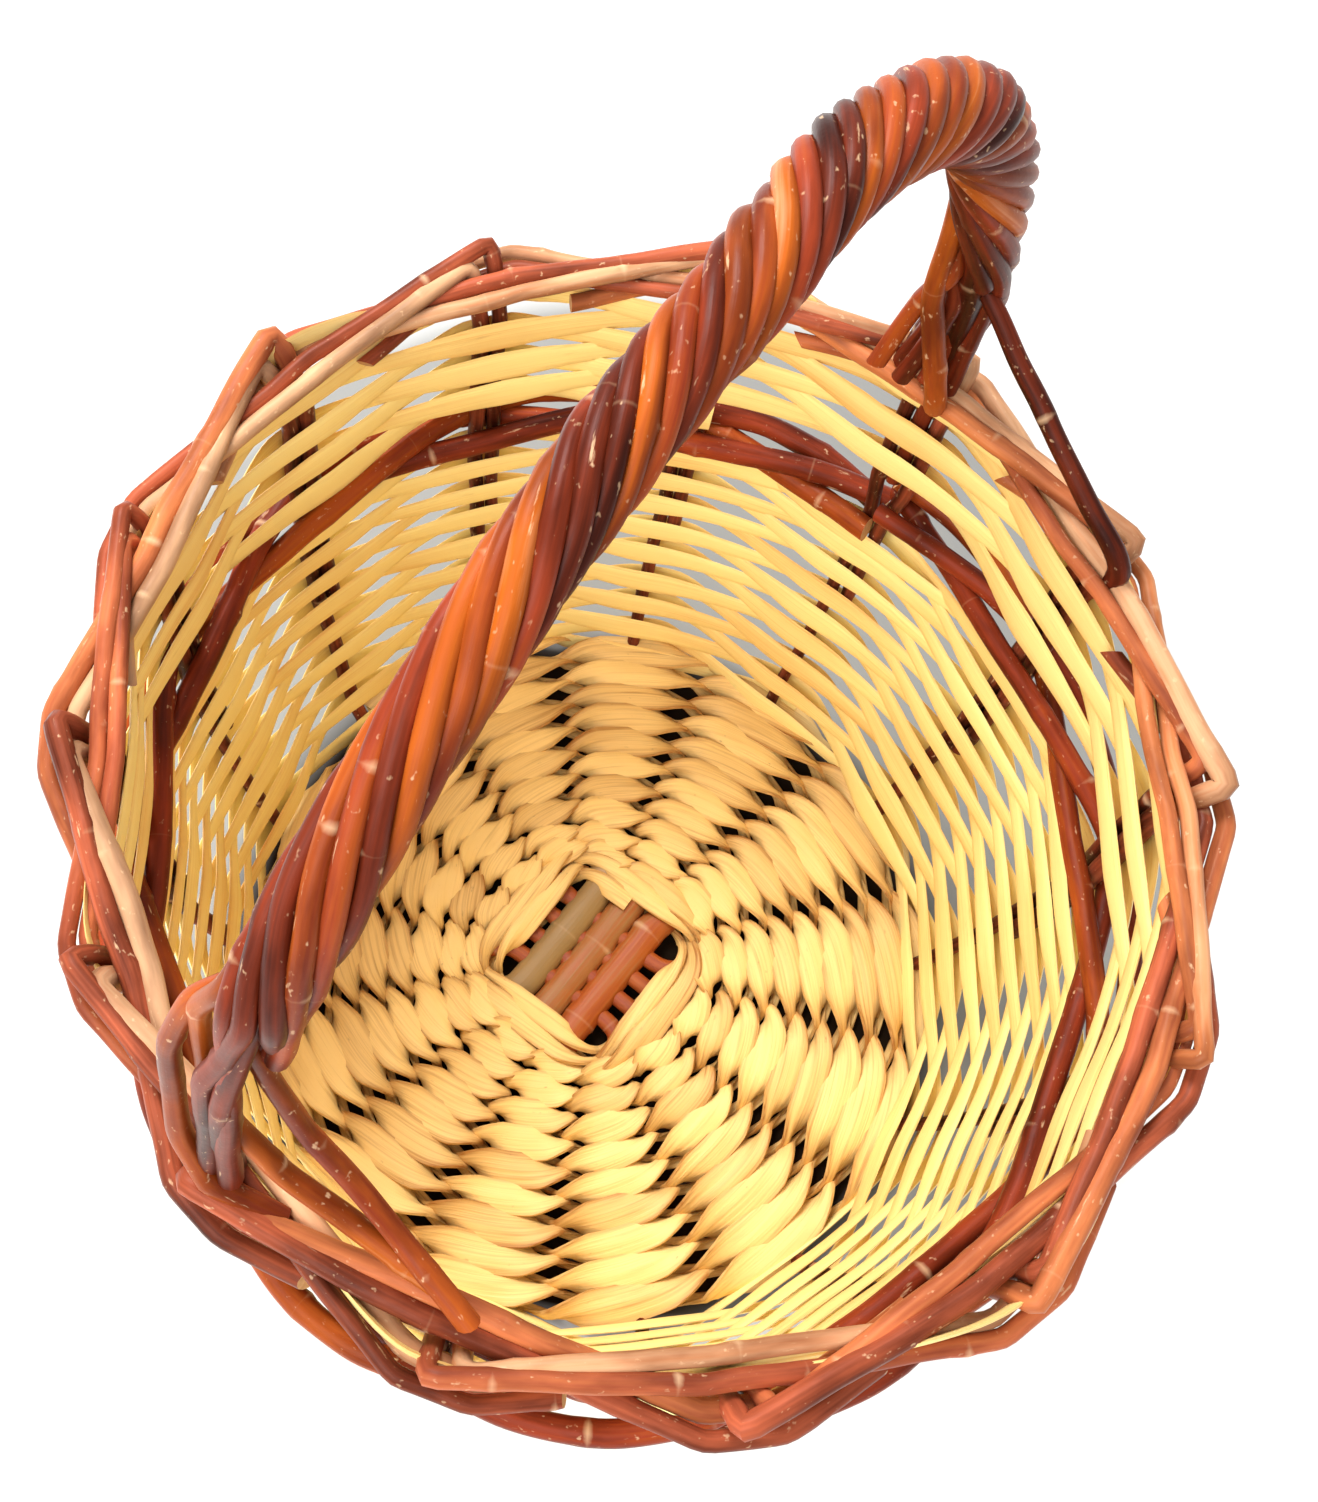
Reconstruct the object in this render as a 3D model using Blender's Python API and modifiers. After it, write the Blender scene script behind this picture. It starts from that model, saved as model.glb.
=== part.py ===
"""A round willow basket with a bow handle wrapped like a rope, built rod by rod.

Seven sticks cross in the middle of the base: three thick ones are pierced, and four
thinner ones go through them. Flat strips are woven round their fourteen ends. A
stake stands at each end, and a second rod, the by-stake, joins it part way up. Split
cane goes in and out of them, below and above a band of three waling rods. Each pair
then kinks over and is laid down as the border: inside the next pair, outside the one
after it, and inside again. The handle's bow goes down between two opposite pairs.

Lengths are in metres. The handle runs along X, and the basket stands on Z = 0.
"""

import math

import bmesh
import bpy
import numpy as np

MM = 0.001

# How many there are of each
STAKE_COUNT = 14
THICK_STICK_COUNT = 3
THIN_STICK_COUNT = 4
WRAP_COUNT = 9
WALE_COUNT = 3
CHASING_STRIP_COUNT = 2
LONG_END_COUNT = 2
HANDLE_STAKES = (0, STAKE_COUNT // 2)

# Clearance between pieces that touch
GAP = 0.0003

# A basket made by hand is a little oval, and its stakes stand unevenly
OVAL_SHARE = 0.04
BASE_OVAL_SHARE = 0.02
OVAL_AZIMUTH = math.radians(51)
STAKE_DRIFT = math.radians(5)
STAKE_DRIFT_AZIMUTH = math.radians(50)
STAKE_TURN = math.radians(-1.5)

# Base
THICK_STICK_RADIUS = 0.0052
THICK_STICK_PITCH = 0.0116
THIN_STICK_RADIUS = 0.0031
THIN_STICK_PITCH = 0.0090
SPOKE_RADIUS = 0.0034
SPOKE_FAN_RADIUS = 0.062
BASE_STRIP_WIDTH = 0.0110
BASE_STRIP_THICKNESS = 0.0016
BASE_STRIP_PITCH = 0.0121
BASE_WEAVE_RADIUS = 0.0285
BASE_RADIUS = 0.1155

# Wall
BASE_WALL_STEP = 0.0050
BELLY_RADIUS = 0.1415
BELLY_HEIGHT = 0.128
RIM_RADIUS = 0.1390
RIM_HEIGHT = 0.196
STAKE_RADIUS = 0.0024
BY_STAKE_HEIGHT = 0.075
CANE_THICKNESS = 0.0013
LOWER_CANE_WIDTH = 0.0058
LOWER_CANE_PITCH = 0.0066
UPPER_CANE_WIDTH = 0.0076
UPPER_CANE_PITCH = 0.0084
WALE_RADIUS = 0.0026
WALE_DEPTH = 0.0682
WALE_SWING = 0.0095
WALE_SHIFT = 0.0025
WALE_RISE = 0.0034

# Border
BORDER_STEP = 0.0055
BORDER_RISE = 0.0140
# How far the two rods of a pair reach, in spacings from stake to stake
LEAD_REACH_SHARE = 2.62
TRAIL_REACH_SHARE = 2.48

# Handle
HANDLE_HEIGHT = 0.369
HANDLE_FULLNESS = 2.44
HANDLE_LEAN = 0.010
HANDLE_SWAY = 0.012
HANDLE_SWAY_START_SHARE = 0.40
BOW_RADIUS = 0.0049
BOW_TIP_RADIUS = 0.0026
BOW_FOOT_RISE = 0.001
BOW_TAPER = 0.022
WRAP_RADIUS = 0.0020
WRAP_SLACK = 0.0008
WRAP_TURNS = 4.3
WRAP_EASE_SHARE = 0.33
WRAP_START_SHARE = 0.286
SPLAY_PITCH = 0.0055
SPLAY_DEPTH = 0.020
LONG_END_REACH = 0.060
LONG_END_DROP = 0.004
LONG_END_SPREAD = 0.0012
BRACE_RISE = 0.045
BRACE_STAKE = -1
BRACE_DEPTH = 0.013

# Sides and points of the rods
ROD_RESOLUTION = 1
STICK_RESOLUTION = 2
WRAP_TURN_POINT_COUNT = 8
BOW_POINT_COUNT = 26
STICK_POINT_COUNT = 5
LONG_END_POINT_COUNT = 4
BOW_SAMPLE_COUNT = 400
WELD = 0.00003

# Corners and bends
STICK_SHOULDER = 0.003
GROUP_RADIUS = 0.047
BASE_STRIP_MARGIN = 0.0027
WEAVE_START_COUNT = 2
STRIP_MARGIN = 0.0012
CROWDED_SHARE = 0.42
ROOT_LENGTH = 0.0032
ROOT_BEND = 0.0065
WALL_STEP_COUNT = 5
BY_STAKE_STEP_COUNT = 2
UPPER_WALL = 0.150
WEAVE_BOTTOM = 0.0122
WALE_START_COUNT = 0
KINK_HEIGHT = 0.0080
LEAD_KINK_RUN = 0.0018
LEAD_KINK_REACH = 0.0035
TRAIL_KINK_RUN = 0.0025
TRAIL_KINK_REACH = 0.0072
KINK_RISE = 0.0042
KINK_RUN = 0.0090
BORDER_PAIR_HALF = 0.00285
PAIR_PASS_SHARE = 0.16
SWING_SLACK = 0.0007
BRACE_RADIUS = 0.0027

COLOURS = {
    "stick": (0.28, 0.14, 0.06),
    "rush": (0.72, 0.52, 0.24),
    "stake": (0.13, 0.05, 0.02),
    "cane": (0.84, 0.66, 0.34),
    "wale": (0.20, 0.05, 0.03),
    "border": (0.38, 0.12, 0.06),
    "bow": (0.30, 0.16, 0.08),
    "wrap": (0.50, 0.18, 0.07),
}

SPACING = math.tau / STAKE_COUNT
BASE_WALL_RADIUS = BASE_RADIUS + BASE_WALL_STEP
SPOKE_HEIGHT = SPOKE_RADIUS + GAP + BASE_STRIP_THICKNESS
BASE_TOP = 2 * SPOKE_HEIGHT
PAIR_HALF = STAKE_RADIUS + GAP / 2
HANDLE_PAIR_HALF = STAKE_RADIUS + GAP + BOW_TIP_RADIUS
BORDER_SWING = 2 * STAKE_RADIUS + BORDER_PAIR_HALF + SWING_SLACK
BORDER_TOP = RIM_HEIGHT + BORDER_RISE + STAKE_RADIUS
WRAP_START = WRAP_START_SHARE * (HANDLE_HEIGHT - BORDER_TOP)
WALE_HEIGHT = RIM_HEIGHT - WALE_DEPTH
WALE_CLIMB = CHASING_STRIP_COUNT * LOWER_CANE_PITCH
WEAVE_TOP = RIM_HEIGHT + BORDER_RISE - LEAD_REACH_SHARE * BORDER_STEP - STAKE_RADIUS - GAP
CANE_OFFSET = STAKE_RADIUS + 2 * GAP + CANE_THICKNESS / 2


def clear_scene():
    for obj in list(bpy.data.objects):
        bpy.data.objects.remove(obj, do_unlink=True)


def make_collection(name, hidden=False):
    collection = bpy.data.collections.new(name)
    bpy.context.scene.collection.children.link(collection)
    collection.hide_render = hidden
    return collection


def make_material(name, colour, roughness=0.55):
    material = bpy.data.materials.new(name)
    material.use_nodes = True
    shader = material.node_tree.nodes["Principled BSDF"]
    shader.inputs["Base Color"].default_value = (*colour, 1)
    shader.inputs["Roughness"].default_value = roughness
    shader.inputs["Metallic"].default_value = 0
    return material


def stake_azimuth(place):
    """The direction of a place counted in stakes, which may fall between two of them."""
    turn = place * SPACING
    return turn + STAKE_TURN + STAKE_DRIFT * math.cos(turn - STAKE_DRIFT_AZIMUTH)


def wall_radius(height):
    """The wall opens from the base to the belly, and draws in a little to the rim."""
    if height < BELLY_HEIGHT:
        share = (height - SPOKE_HEIGHT) / (BELLY_HEIGHT - SPOKE_HEIGHT)
        return BASE_WALL_RADIUS + (BELLY_RADIUS - BASE_WALL_RADIUS) * math.sin(
            share * math.pi / 2
        )
    share = min(1, (height - BELLY_HEIGHT) / (RIM_HEIGHT - BELLY_HEIGHT))
    return BELLY_RADIUS - (BELLY_RADIUS - RIM_RADIUS) * share**2


def wall_slope(height):
    """How far the wall leans outward there, as an angle."""
    rise = wall_radius(height + GAP) - wall_radius(height - GAP)
    return math.atan2(rise, 2 * GAP)


def wale_height(place):
    """The waling climbs with the cane below it, and so ends a round of cane higher."""
    passed = (place - WALE_START_COUNT) % STAKE_COUNT
    return WALE_HEIGHT + WALE_CLIMB * passed / STAKE_COUNT


def polar(azimuth, radius, height):
    return (radius * math.cos(azimuth), radius * math.sin(azimuth), height)


def on_wall(place, along, offset, height):
    """A point of the wall: along it from a place counted in stakes, and out from it."""
    azimuth = stake_azimuth(place)
    radius = wall_radius(height) * (
        1 + OVAL_SHARE * math.cos(2 * (azimuth - OVAL_AZIMUTH))
    )
    return polar(azimuth + along / radius, radius + offset, height)


def on_base(azimuth, radius, height):
    oval = 1 + BASE_OVAL_SHARE * math.cos(2 * (azimuth - OVAL_AZIMUTH))
    return polar(azimuth, radius * oval, height)


def pair_half(stake, height):
    """Half the distance between the two rods of a pair, wider round the handle's bow."""
    round_bow = stake % STAKE_COUNT in HANDLE_STAKES
    if round_bow and height > WALE_HEIGHT + WALE_RISE:
        return HANDLE_PAIR_HALF
    return PAIR_HALF


def add_rod(name, points, radius, material, radii=None, resolution=ROD_RESOLUTION):
    """A round rod through the points, with closed ends and, if given, a taper."""
    curve = bpy.data.curves.new(name, "CURVE")
    curve.dimensions = "3D"
    curve.bevel_depth = radius
    curve.bevel_resolution = resolution
    curve.use_fill_caps = True
    spline = curve.splines.new("POLY")
    spline.points.add(len(points) - 1)
    for index, point in enumerate(points):
        spline.points[index].co = (*point, 1)
        spline.points[index].radius = radii[index] if radii else 1
    rod = bpy.data.objects.new(name, curve)
    rod.data.materials.append(material)
    return rod


def add_strip(name, points, tilts, width, thickness, material):
    """A flat strip through the points, standing on edge and turned by the tilts."""
    curve = bpy.data.curves.new(name, "CURVE")
    curve.dimensions = "3D"
    curve.twist_mode = "Z_UP"
    curve.extrude = width / 2
    spline = curve.splines.new("POLY")
    spline.points.add(len(points) - 1)
    for index, point in enumerate(points):
        spline.points[index].co = (*point, 1)
        spline.points[index].tilt = tilts[index]
    strip = bpy.data.objects.new(name, curve)
    wall = strip.modifiers.new("thickness", "SOLIDIFY")
    wall.thickness = thickness
    wall.offset = 0
    strip.data.materials.append(material)
    return strip


def as_mesh(obj, collection):
    """A curve object made a mesh with its caps welded on, which a Boolean can cut."""
    collection.objects.link(obj)
    bpy.context.view_layer.update()
    graph = bpy.context.evaluated_depsgraph_get()
    name = obj.name
    mesh = bpy.data.meshes.new_from_object(obj.evaluated_get(graph))
    welded = bmesh.new()
    welded.from_mesh(mesh)
    bmesh.ops.remove_doubles(welded, verts=welded.verts, dist=WELD)
    bmesh.ops.recalc_face_normals(welded, faces=welded.faces)
    welded.to_mesh(mesh)
    welded.free()
    place = obj.matrix_world.copy()
    bpy.data.objects.remove(obj, do_unlink=True)
    solid = bpy.data.objects.new(name, mesh)
    solid.matrix_world = place
    collection.objects.link(solid)
    return solid


def spoke_group(stake):
    """The middle of the group of spokes that a stake's spoke starts in, and their pitch."""
    quarter = STAKE_COUNT / 4
    groups = (
        (0, THICK_STICK_COUNT, THICK_STICK_PITCH),
        (quarter, THIN_STICK_COUNT, THIN_STICK_PITCH),
        (2 * quarter, THICK_STICK_COUNT, THICK_STICK_PITCH),
        (3 * quarter, THIN_STICK_COUNT, THIN_STICK_PITCH),
    )
    for index, (middle, count, pitch) in enumerate(groups):
        if abs(stake - middle) <= count / 2:
            return index, middle, pitch


def spoke_start(stake):
    """The azimuth at which a spoke enters the weave, still side by side with its group."""
    turns = (stake + THICK_STICK_COUNT // 2) // STAKE_COUNT
    _, middle, pitch = spoke_group(stake - turns * STAKE_COUNT)
    offset = (stake - turns * STAKE_COUNT - middle) * pitch
    return (
        turns * math.tau + middle * SPACING + math.asin(offset / BASE_WEAVE_RADIUS)
    )


def spoke_azimuth(place, radius):
    """The azimuth of a spoke, or of a place between two, as the spokes fan out."""
    low = math.floor(place)
    inner = spoke_start(low)
    inner += (spoke_start(low + 1) - inner) * (place - low)
    fan = (radius - BASE_WEAVE_RADIUS) / (SPOKE_FAN_RADIUS - BASE_WEAVE_RADIUS)
    fan = max(0, min(1, fan))
    return inner + (stake_azimuth(place) - inner) * fan * fan * (3 - 2 * fan)


def make_stick(name, stakes, radius, material):
    """A stick of the base, from one stake through the middle to the stake opposite."""
    points = []
    radii = []
    inside = BASE_WEAVE_RADIUS - BASE_STRIP_WIDTH / 2 - STICK_SHOULDER
    for stake, order in ((stakes[0], 1), (stakes[1], -1)):
        half = []
        for step in range(STICK_POINT_COUNT):
            share = step / (STICK_POINT_COUNT - 1)
            reach = BASE_RADIUS + (BASE_WEAVE_RADIUS - BASE_RADIUS) * share
            azimuth = spoke_azimuth(stake, reach)
            half.append((on_base(azimuth, reach, SPOKE_HEIGHT), SPOKE_RADIUS))
        entry = half[-1][0]
        middle = spoke_group(stake % STAKE_COUNT if stake >= 0 else stake)[1] * SPACING
        across = math.cos(middle), math.sin(middle)
        along = entry[0] * across[0] + entry[1] * across[1]
        for place, size in (
            (BASE_WEAVE_RADIUS - BASE_STRIP_WIDTH / 2, SPOKE_RADIUS),
            (inside, radius),
        ):
            point = (
                entry[0] + across[0] * (place - along),
                entry[1] + across[1] * (place - along),
                SPOKE_HEIGHT,
            )
            half.append((point, size))
        for point, size in half[::order]:
            points.append(point)
            radii.append(size / radius)
    return add_rod(name, points, radius, material, radii, STICK_RESOLUTION)


def make_base_sticks(collection, cutters, material):
    """Three thick sticks, pierced side by side, and four thin ones through them."""
    half = (THIN_STICK_COUNT - 1) / 2 * THIN_STICK_PITCH + THIN_STICK_RADIUS + GAP
    reach = (THICK_STICK_COUNT + 1) / 2 * THICK_STICK_PITCH
    bpy.ops.mesh.primitive_cube_add(size=1, location=(0, 0, SPOKE_HEIGHT))
    slit = bpy.context.object
    slit.name = "slit_cutter"
    slit.scale = (2 * half, 2 * reach, 2 * (THIN_STICK_RADIUS + GAP))
    slit.hide_render = True
    slit.display_type = "WIRE"
    for owner in list(slit.users_collection):
        owner.objects.unlink(slit)
    cutters.objects.link(slit)
    for index in range(THICK_STICK_COUNT):
        side = index - THICK_STICK_COUNT // 2
        stakes = (side, STAKE_COUNT // 2 - side)
        stick = make_stick(f"pierced_stick_{index + 1}", stakes, THICK_STICK_RADIUS, material)
        solid = as_mesh(stick, collection)
        cut = solid.modifiers.new("slit", "BOOLEAN")
        cut.operation = "DIFFERENCE"
        cut.object = slit
    for index in range(THIN_STICK_COUNT):
        side = index - (THIN_STICK_COUNT - 1) / 2
        stakes = (
            round(STAKE_COUNT / 4 - side),
            round(3 * STAKE_COUNT / 4 + side),
        )
        stick = make_stick(f"threaded_stick_{index + 1}", stakes, THIN_STICK_RADIUS, material)
        collection.objects.link(stick)


def make_base_weavers(collection, material):
    """Two flat strips that chase each other outward, over and under the spokes.

    Near the middle they take each group of spokes as one, which makes the square.
    """
    offset = SPOKE_RADIUS + GAP + BASE_STRIP_THICKNESS / 2
    last = BASE_RADIUS - BASE_STRIP_WIDTH / 2 - GAP
    for strand in range(CHASING_STRIP_COUNT):
        points = []
        stake = strand * STAKE_COUNT // 2 + WEAVE_START_COUNT
        radius = BASE_WEAVE_RADIUS
        while radius < last:
            together = radius < GROUP_RADIUS
            parity = spoke_group_parity(stake) if together else stake
            height = SPOKE_HEIGHT + offset * (-1) ** (parity + strand)
            spokes = [spoke_azimuth(stake + side, radius) for side in (-1, 0, 1)]
            near = min(spokes[1] - spokes[0], spokes[2] - spokes[1]) * radius
            half = min(SPOKE_RADIUS + BASE_STRIP_MARGIN, CROWDED_SHARE * near)
            for side in (-1, 1):
                azimuth = spokes[1] + side * half / radius
                points.append(on_base(azimuth, radius, height))
            stake += 1
            radius += 2 * BASE_STRIP_PITCH / STAKE_COUNT
        tilts = [math.pi / 2] * len(points)
        strip = add_strip(
            f"base_weaver_{strand + 1}",
            points,
            tilts,
            BASE_STRIP_WIDTH,
            BASE_STRIP_THICKNESS,
            material,
        )
        collection.objects.link(strip)


def spoke_group_parity(stake):
    turns = (stake + THICK_STICK_COUNT // 2) // STAKE_COUNT
    return spoke_group(stake - turns * STAKE_COUNT)[0]


def border_run(stake, side, reach):
    """The laid-down length of a rod: inside the next pair, outside, and inside again."""
    crossing = 1 - 2 * PAIR_PASS_SHARE
    places = [KINK_RUN / (RIM_RADIUS * SPACING)]
    for passed in range(1, math.ceil(reach)):
        places += [passed - PAIR_PASS_SHARE, passed + PAIR_PASS_SHARE]
    points = []
    for place in [*places, reach]:
        across = (place - PAIR_PASS_SHARE) % 1 / crossing
        swing = 1 - 2 * min(1, across)
        if math.floor(place - PAIR_PASS_SHARE) % 2:
            swing = -swing
        height = RIM_HEIGHT + BORDER_RISE - BORDER_STEP * place
        offset = BORDER_SWING * swing + side * BORDER_PAIR_HALF
        points.append(on_wall(stake + place, 0, offset, height))
    return points


def make_stakes(collection, stake_material, border_material):
    """Each stake stands from the base; its by-stake joins it part way up the wall."""
    kink = RIM_HEIGHT + KINK_HEIGHT
    for stake in range(STAKE_COUNT):
        azimuth = stake_azimuth(stake) + PAIR_HALF / BASE_RADIUS
        root = [
            on_base(azimuth, BASE_RADIUS + reach, SPOKE_HEIGHT)
            for reach in (2 * GAP, ROOT_LENGTH)
        ]
        low = SPOKE_HEIGHT + ROOT_BEND
        upright = [
            on_wall(stake, PAIR_HALF, 0, low + (BELLY_HEIGHT - low) * step / WALL_STEP_COUNT)
            for step in range(WALL_STEP_COUNT + 1)
        ]
        half = pair_half(stake, RIM_HEIGHT)
        upright.append(on_wall(stake, half, 0, UPPER_WALL))
        bend = [
            on_wall(stake, half, 0, kink),
            on_wall(stake, half + LEAD_KINK_RUN, LEAD_KINK_REACH, kink + KINK_RISE),
        ]
        points = [*root, *upright, *bend, *border_run(stake, -1, LEAD_REACH_SHARE)]
        rod = add_rod(f"stake_{stake + 1:02d}", points, STAKE_RADIUS, stake_material)
        collection.objects.link(rod)
        low = BY_STAKE_HEIGHT
        upright = [
            on_wall(stake, -PAIR_HALF, 0, low + (BELLY_HEIGHT - low) * step / BY_STAKE_STEP_COUNT)
            for step in range(BY_STAKE_STEP_COUNT + 1)
        ]
        upright.append(on_wall(stake, -half, 0, UPPER_WALL))
        bend = [
            on_wall(stake, -half, 0, kink),
            on_wall(stake, TRAIL_KINK_RUN - half, TRAIL_KINK_REACH, kink + KINK_RISE),
        ]
        points = [*upright, *bend, *border_run(stake, 1, TRAIL_REACH_SHARE)]
        rod = add_rod(f"by_stake_{stake + 1:02d}", points, STAKE_RADIUS, border_material)
        collection.objects.link(rod)


def cane_run(stake, strand, low, highest, pitch):
    """A strip's way round and up the wall, outside one pair and inside the next.

    It ends where it meets the highest middle line that the place on the wall allows.
    """
    points = []
    tilts = []
    first = stake
    height = low
    while height <= highest(stake):
        side = (-1) ** (stake + strand)
        half = pair_half(stake, height) + STAKE_RADIUS + STRIP_MARGIN
        for end in (-1, 1):
            points.append(on_wall(stake, end * half, side * CANE_OFFSET, height))
            tilts.append(wall_slope(height))
        stake += 1
        height = low + 2 * pitch * (stake - first) / STAKE_COUNT
    return points, tilts


def make_canes(collection, material):
    """Two strips chase each other up the wall below the waling, and two above it."""
    band = WALE_RISE + WALE_RADIUS + GAP

    def below_waling(place):
        return wale_height(place) - band - LOWER_CANE_WIDTH / 2

    def below_border(place):
        return WEAVE_TOP - UPPER_CANE_WIDTH / 2

    for strand in range(CHASING_STRIP_COUNT):
        start = strand * STAKE_COUNT // 2 + WEAVE_START_COUNT
        low = WEAVE_BOTTOM + LOWER_CANE_WIDTH / 2
        lower = cane_run(start, strand, low, below_waling, LOWER_CANE_PITCH)
        start = WALE_START_COUNT + 1
        low = wale_height(start) + band + UPPER_CANE_WIDTH / 2 + strand * UPPER_CANE_PITCH
        upper = cane_run(start, strand, low, below_border, UPPER_CANE_PITCH)
        for name, width, (points, tilts) in (
            ("lower_cane", LOWER_CANE_WIDTH, lower),
            ("upper_cane", UPPER_CANE_WIDTH, upper),
        ):
            strip = add_strip(
                f"{name}_{strand + 1}", points, tilts, width, CANE_THICKNESS, material
            )
            collection.objects.link(strip)


def make_wales(collection, material):
    """Three rods twined round the wall, each outside two pairs and inside one."""
    steps = WALE_COUNT * STAKE_COUNT
    last = STAKE_COUNT - 3 * GAP / (BELLY_RADIUS * SPACING)
    for index in range(WALE_COUNT):
        points = []
        for step in range(steps + 1):
            place = min(step / WALE_COUNT, last)
            angle = (place + index + 1 / 2) * math.tau / WALE_COUNT
            out = WALE_SHIFT + WALE_SWING * math.cos(angle)
            climbed = WALE_HEIGHT + WALE_CLIMB * place / STAKE_COUNT
            height = climbed + WALE_RISE * math.sin(angle)
            points.append(on_wall(place + WALE_START_COUNT, 0, out, height))
        rod = add_rod(f"waling_rod_{index + 1}", points, WALE_RADIUS, material)
        collection.objects.link(rod)


def bow_line():
    """The middle line of the arch above the border, as many points and their lengths.

    It leans to one side at the top, and sways to the other on its way to the second foot.
    """
    feet = [np.array(on_wall(stake, 0, 0, BORDER_TOP)) for stake in HANDLE_STAKES]
    middle = (feet[0] + feet[1]) / 2
    half = (feet[0] - feet[1]) / 2
    angles = np.linspace(0, math.pi, BOW_SAMPLE_COUNT)
    power = 2 / HANDLE_FULLNESS
    cosine = np.cos(angles)
    across = np.sign(cosine) * np.abs(cosine) ** power
    lift = np.abs(np.sin(angles)) ** power
    points = middle + across[:, None] * half
    swayed = np.linspace(0, 1, BOW_SAMPLE_COUNT) - HANDLE_SWAY_START_SHARE
    swayed = np.clip(swayed / (1 - HANDLE_SWAY_START_SHARE), 0, 1)
    points[:, 1] += HANDLE_LEAN * lift - HANDLE_SWAY * np.sin(math.pi * swayed)
    points[:, 2] += (HANDLE_HEIGHT - BORDER_TOP) * lift
    steps = np.linalg.norm(np.diff(points, axis=0), axis=1)
    return points, np.concatenate([[0], np.cumsum(steps)])


def along_line(points, lengths, distance):
    return np.array([np.interp(distance, lengths, points[:, axis]) for axis in range(3)])


def make_bow(collection, material):
    """A thick rod bent into the arch, whose thinned ends go down beside the stakes."""
    arch, lengths = bow_line()
    points = []
    radii = []
    total = lengths[-1]
    for step in range(BOW_POINT_COUNT + 1):
        distance = total * step / BOW_POINT_COUNT
        points.append(along_line(arch, lengths, distance))
        near = min(distance, total - distance)
        share = min(1, near / BOW_TAPER)
        radii.append(BOW_TIP_RADIUS + (BOW_RADIUS - BOW_TIP_RADIUS) * share)
    for stake, order in zip(HANDLE_STAKES, (1, -1)):
        legs = [
            on_wall(stake, 0, 0, UPPER_WALL + BOW_FOOT_RISE),
            on_wall(stake, 0, 0, RIM_HEIGHT),
        ]
        points = [*legs, *points] if order > 0 else [*points, *legs[::-1]]
        tips = [BOW_TIP_RADIUS] * len(legs)
        radii = [*tips, *radii] if order > 0 else [*radii, *tips]
    radii = [radius / BOW_RADIUS for radius in radii]
    bow = add_rod("handle_bow", points, BOW_RADIUS, material, radii, STICK_RESOLUTION)
    collection.objects.link(bow)


def wrap_end(stake, rank, count, outside):
    """Where a wrapping rod goes at a foot: onto the border, or over it and down outside.

    At one foot the last rods inside are long, and lie along the border instead.
    """
    face = BORDER_SWING + BORDER_PAIR_HALF + STAKE_RADIUS + WRAP_RADIUS + 2 * GAP
    along = (rank - (count - 1) / 2) * SPLAY_PITCH
    shoulder = BORDER_TOP + WRAP_RADIUS + GAP
    from_last = count - 1 - rank
    if not outside and stake == HANDLE_STAKES[1] and from_last < LONG_END_COUNT:
        inward = -BORDER_SWING - from_last * (2 * WRAP_RADIUS + LONG_END_SPREAD)
        laid = []
        for step in range(LONG_END_POINT_COUNT):
            share = step / (LONG_END_POINT_COUNT - 1)
            reach = along + LONG_END_REACH * share
            laid.append(on_wall(stake, reach, inward, shoulder - LONG_END_DROP * share))
        return laid
    if not outside:
        return [on_wall(stake, along, -BORDER_SWING, shoulder)]
    return [
        on_wall(stake, along, face, shoulder),
        on_wall(stake, along, face, BORDER_TOP - SPLAY_DEPTH),
    ]


def make_wraps(collection, material):
    """Rods wound side by side round the bow, splayed over the border at both feet.

    They are wound closer at the top of the arch than at its feet.
    """
    arch, lengths = bow_line()
    total = lengths[-1]
    normal = np.cross(arch[0] - arch[-1], arch[len(arch) // 2] - arch[0])
    normal = normal / np.linalg.norm(normal)
    ring = BOW_RADIUS + WRAP_RADIUS + GAP + WRAP_SLACK
    steps = round(WRAP_TURNS * WRAP_TURN_POINT_COUNT)
    wraps = []
    for index in range(WRAP_COUNT):
        points = []
        for step in range(steps + 1):
            share = step / steps
            distance = WRAP_START + (total - 2 * WRAP_START) * share
            ease = WRAP_EASE_SHARE * math.sin(math.tau * share) / math.tau
            wound = WRAP_TURNS * (share - ease)
            angle = (index / WRAP_COUNT - wound) * math.tau
            ahead = along_line(arch, lengths, distance + GAP)
            behind = along_line(arch, lengths, distance - GAP)
            tangent = (ahead - behind) / np.linalg.norm(ahead - behind)
            inward = np.cross(tangent, normal)
            place = along_line(arch, lengths, distance)
            out = math.cos(angle) * normal + math.sin(angle) * inward
            points.append(place + ring * out)
        wraps.append(points)
    for foot, distance in enumerate((WRAP_START, total - WRAP_START)):
        ends = foot_order(wraps, foot, along_line(arch, lengths, distance))
        for index, tail in ends.items():
            if foot == 0:
                wraps[index] = [*tail[::-1], *wraps[index]]
            else:
                wraps[index] = [*wraps[index], *tail]
    for index, points in enumerate(wraps):
        rod = add_rod(f"handle_wrap_{index + 1}", points, WRAP_RADIUS, material)
        collection.objects.link(rod)
    print(f"least gap of a wrapping rod to itself: {own_gap(wraps[0]) / MM:.1f} mm")


def foot_order(wraps, foot, centre):
    """Each wrapping rod's tail at a foot, in the order of the rods round the bow there."""
    stake = HANDLE_STAKES[foot]
    azimuth = stake_azimuth(stake)
    along = np.array([-math.sin(azimuth), math.cos(azimuth), 0])
    out = np.array([math.cos(azimuth), math.sin(azimuth), 0])
    tails = {}
    sides = {True: [], False: []}
    for index, points in enumerate(wraps):
        offset = (points[0] if foot == 0 else points[-1]) - centre
        sides[bool(offset @ out > 0)].append((offset @ along, index))
    for outside, found in sides.items():
        for rank, (_, index) in enumerate(sorted(found)):
            tails[index] = wrap_end(stake, rank, len(found), outside)
    return tails


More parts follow.
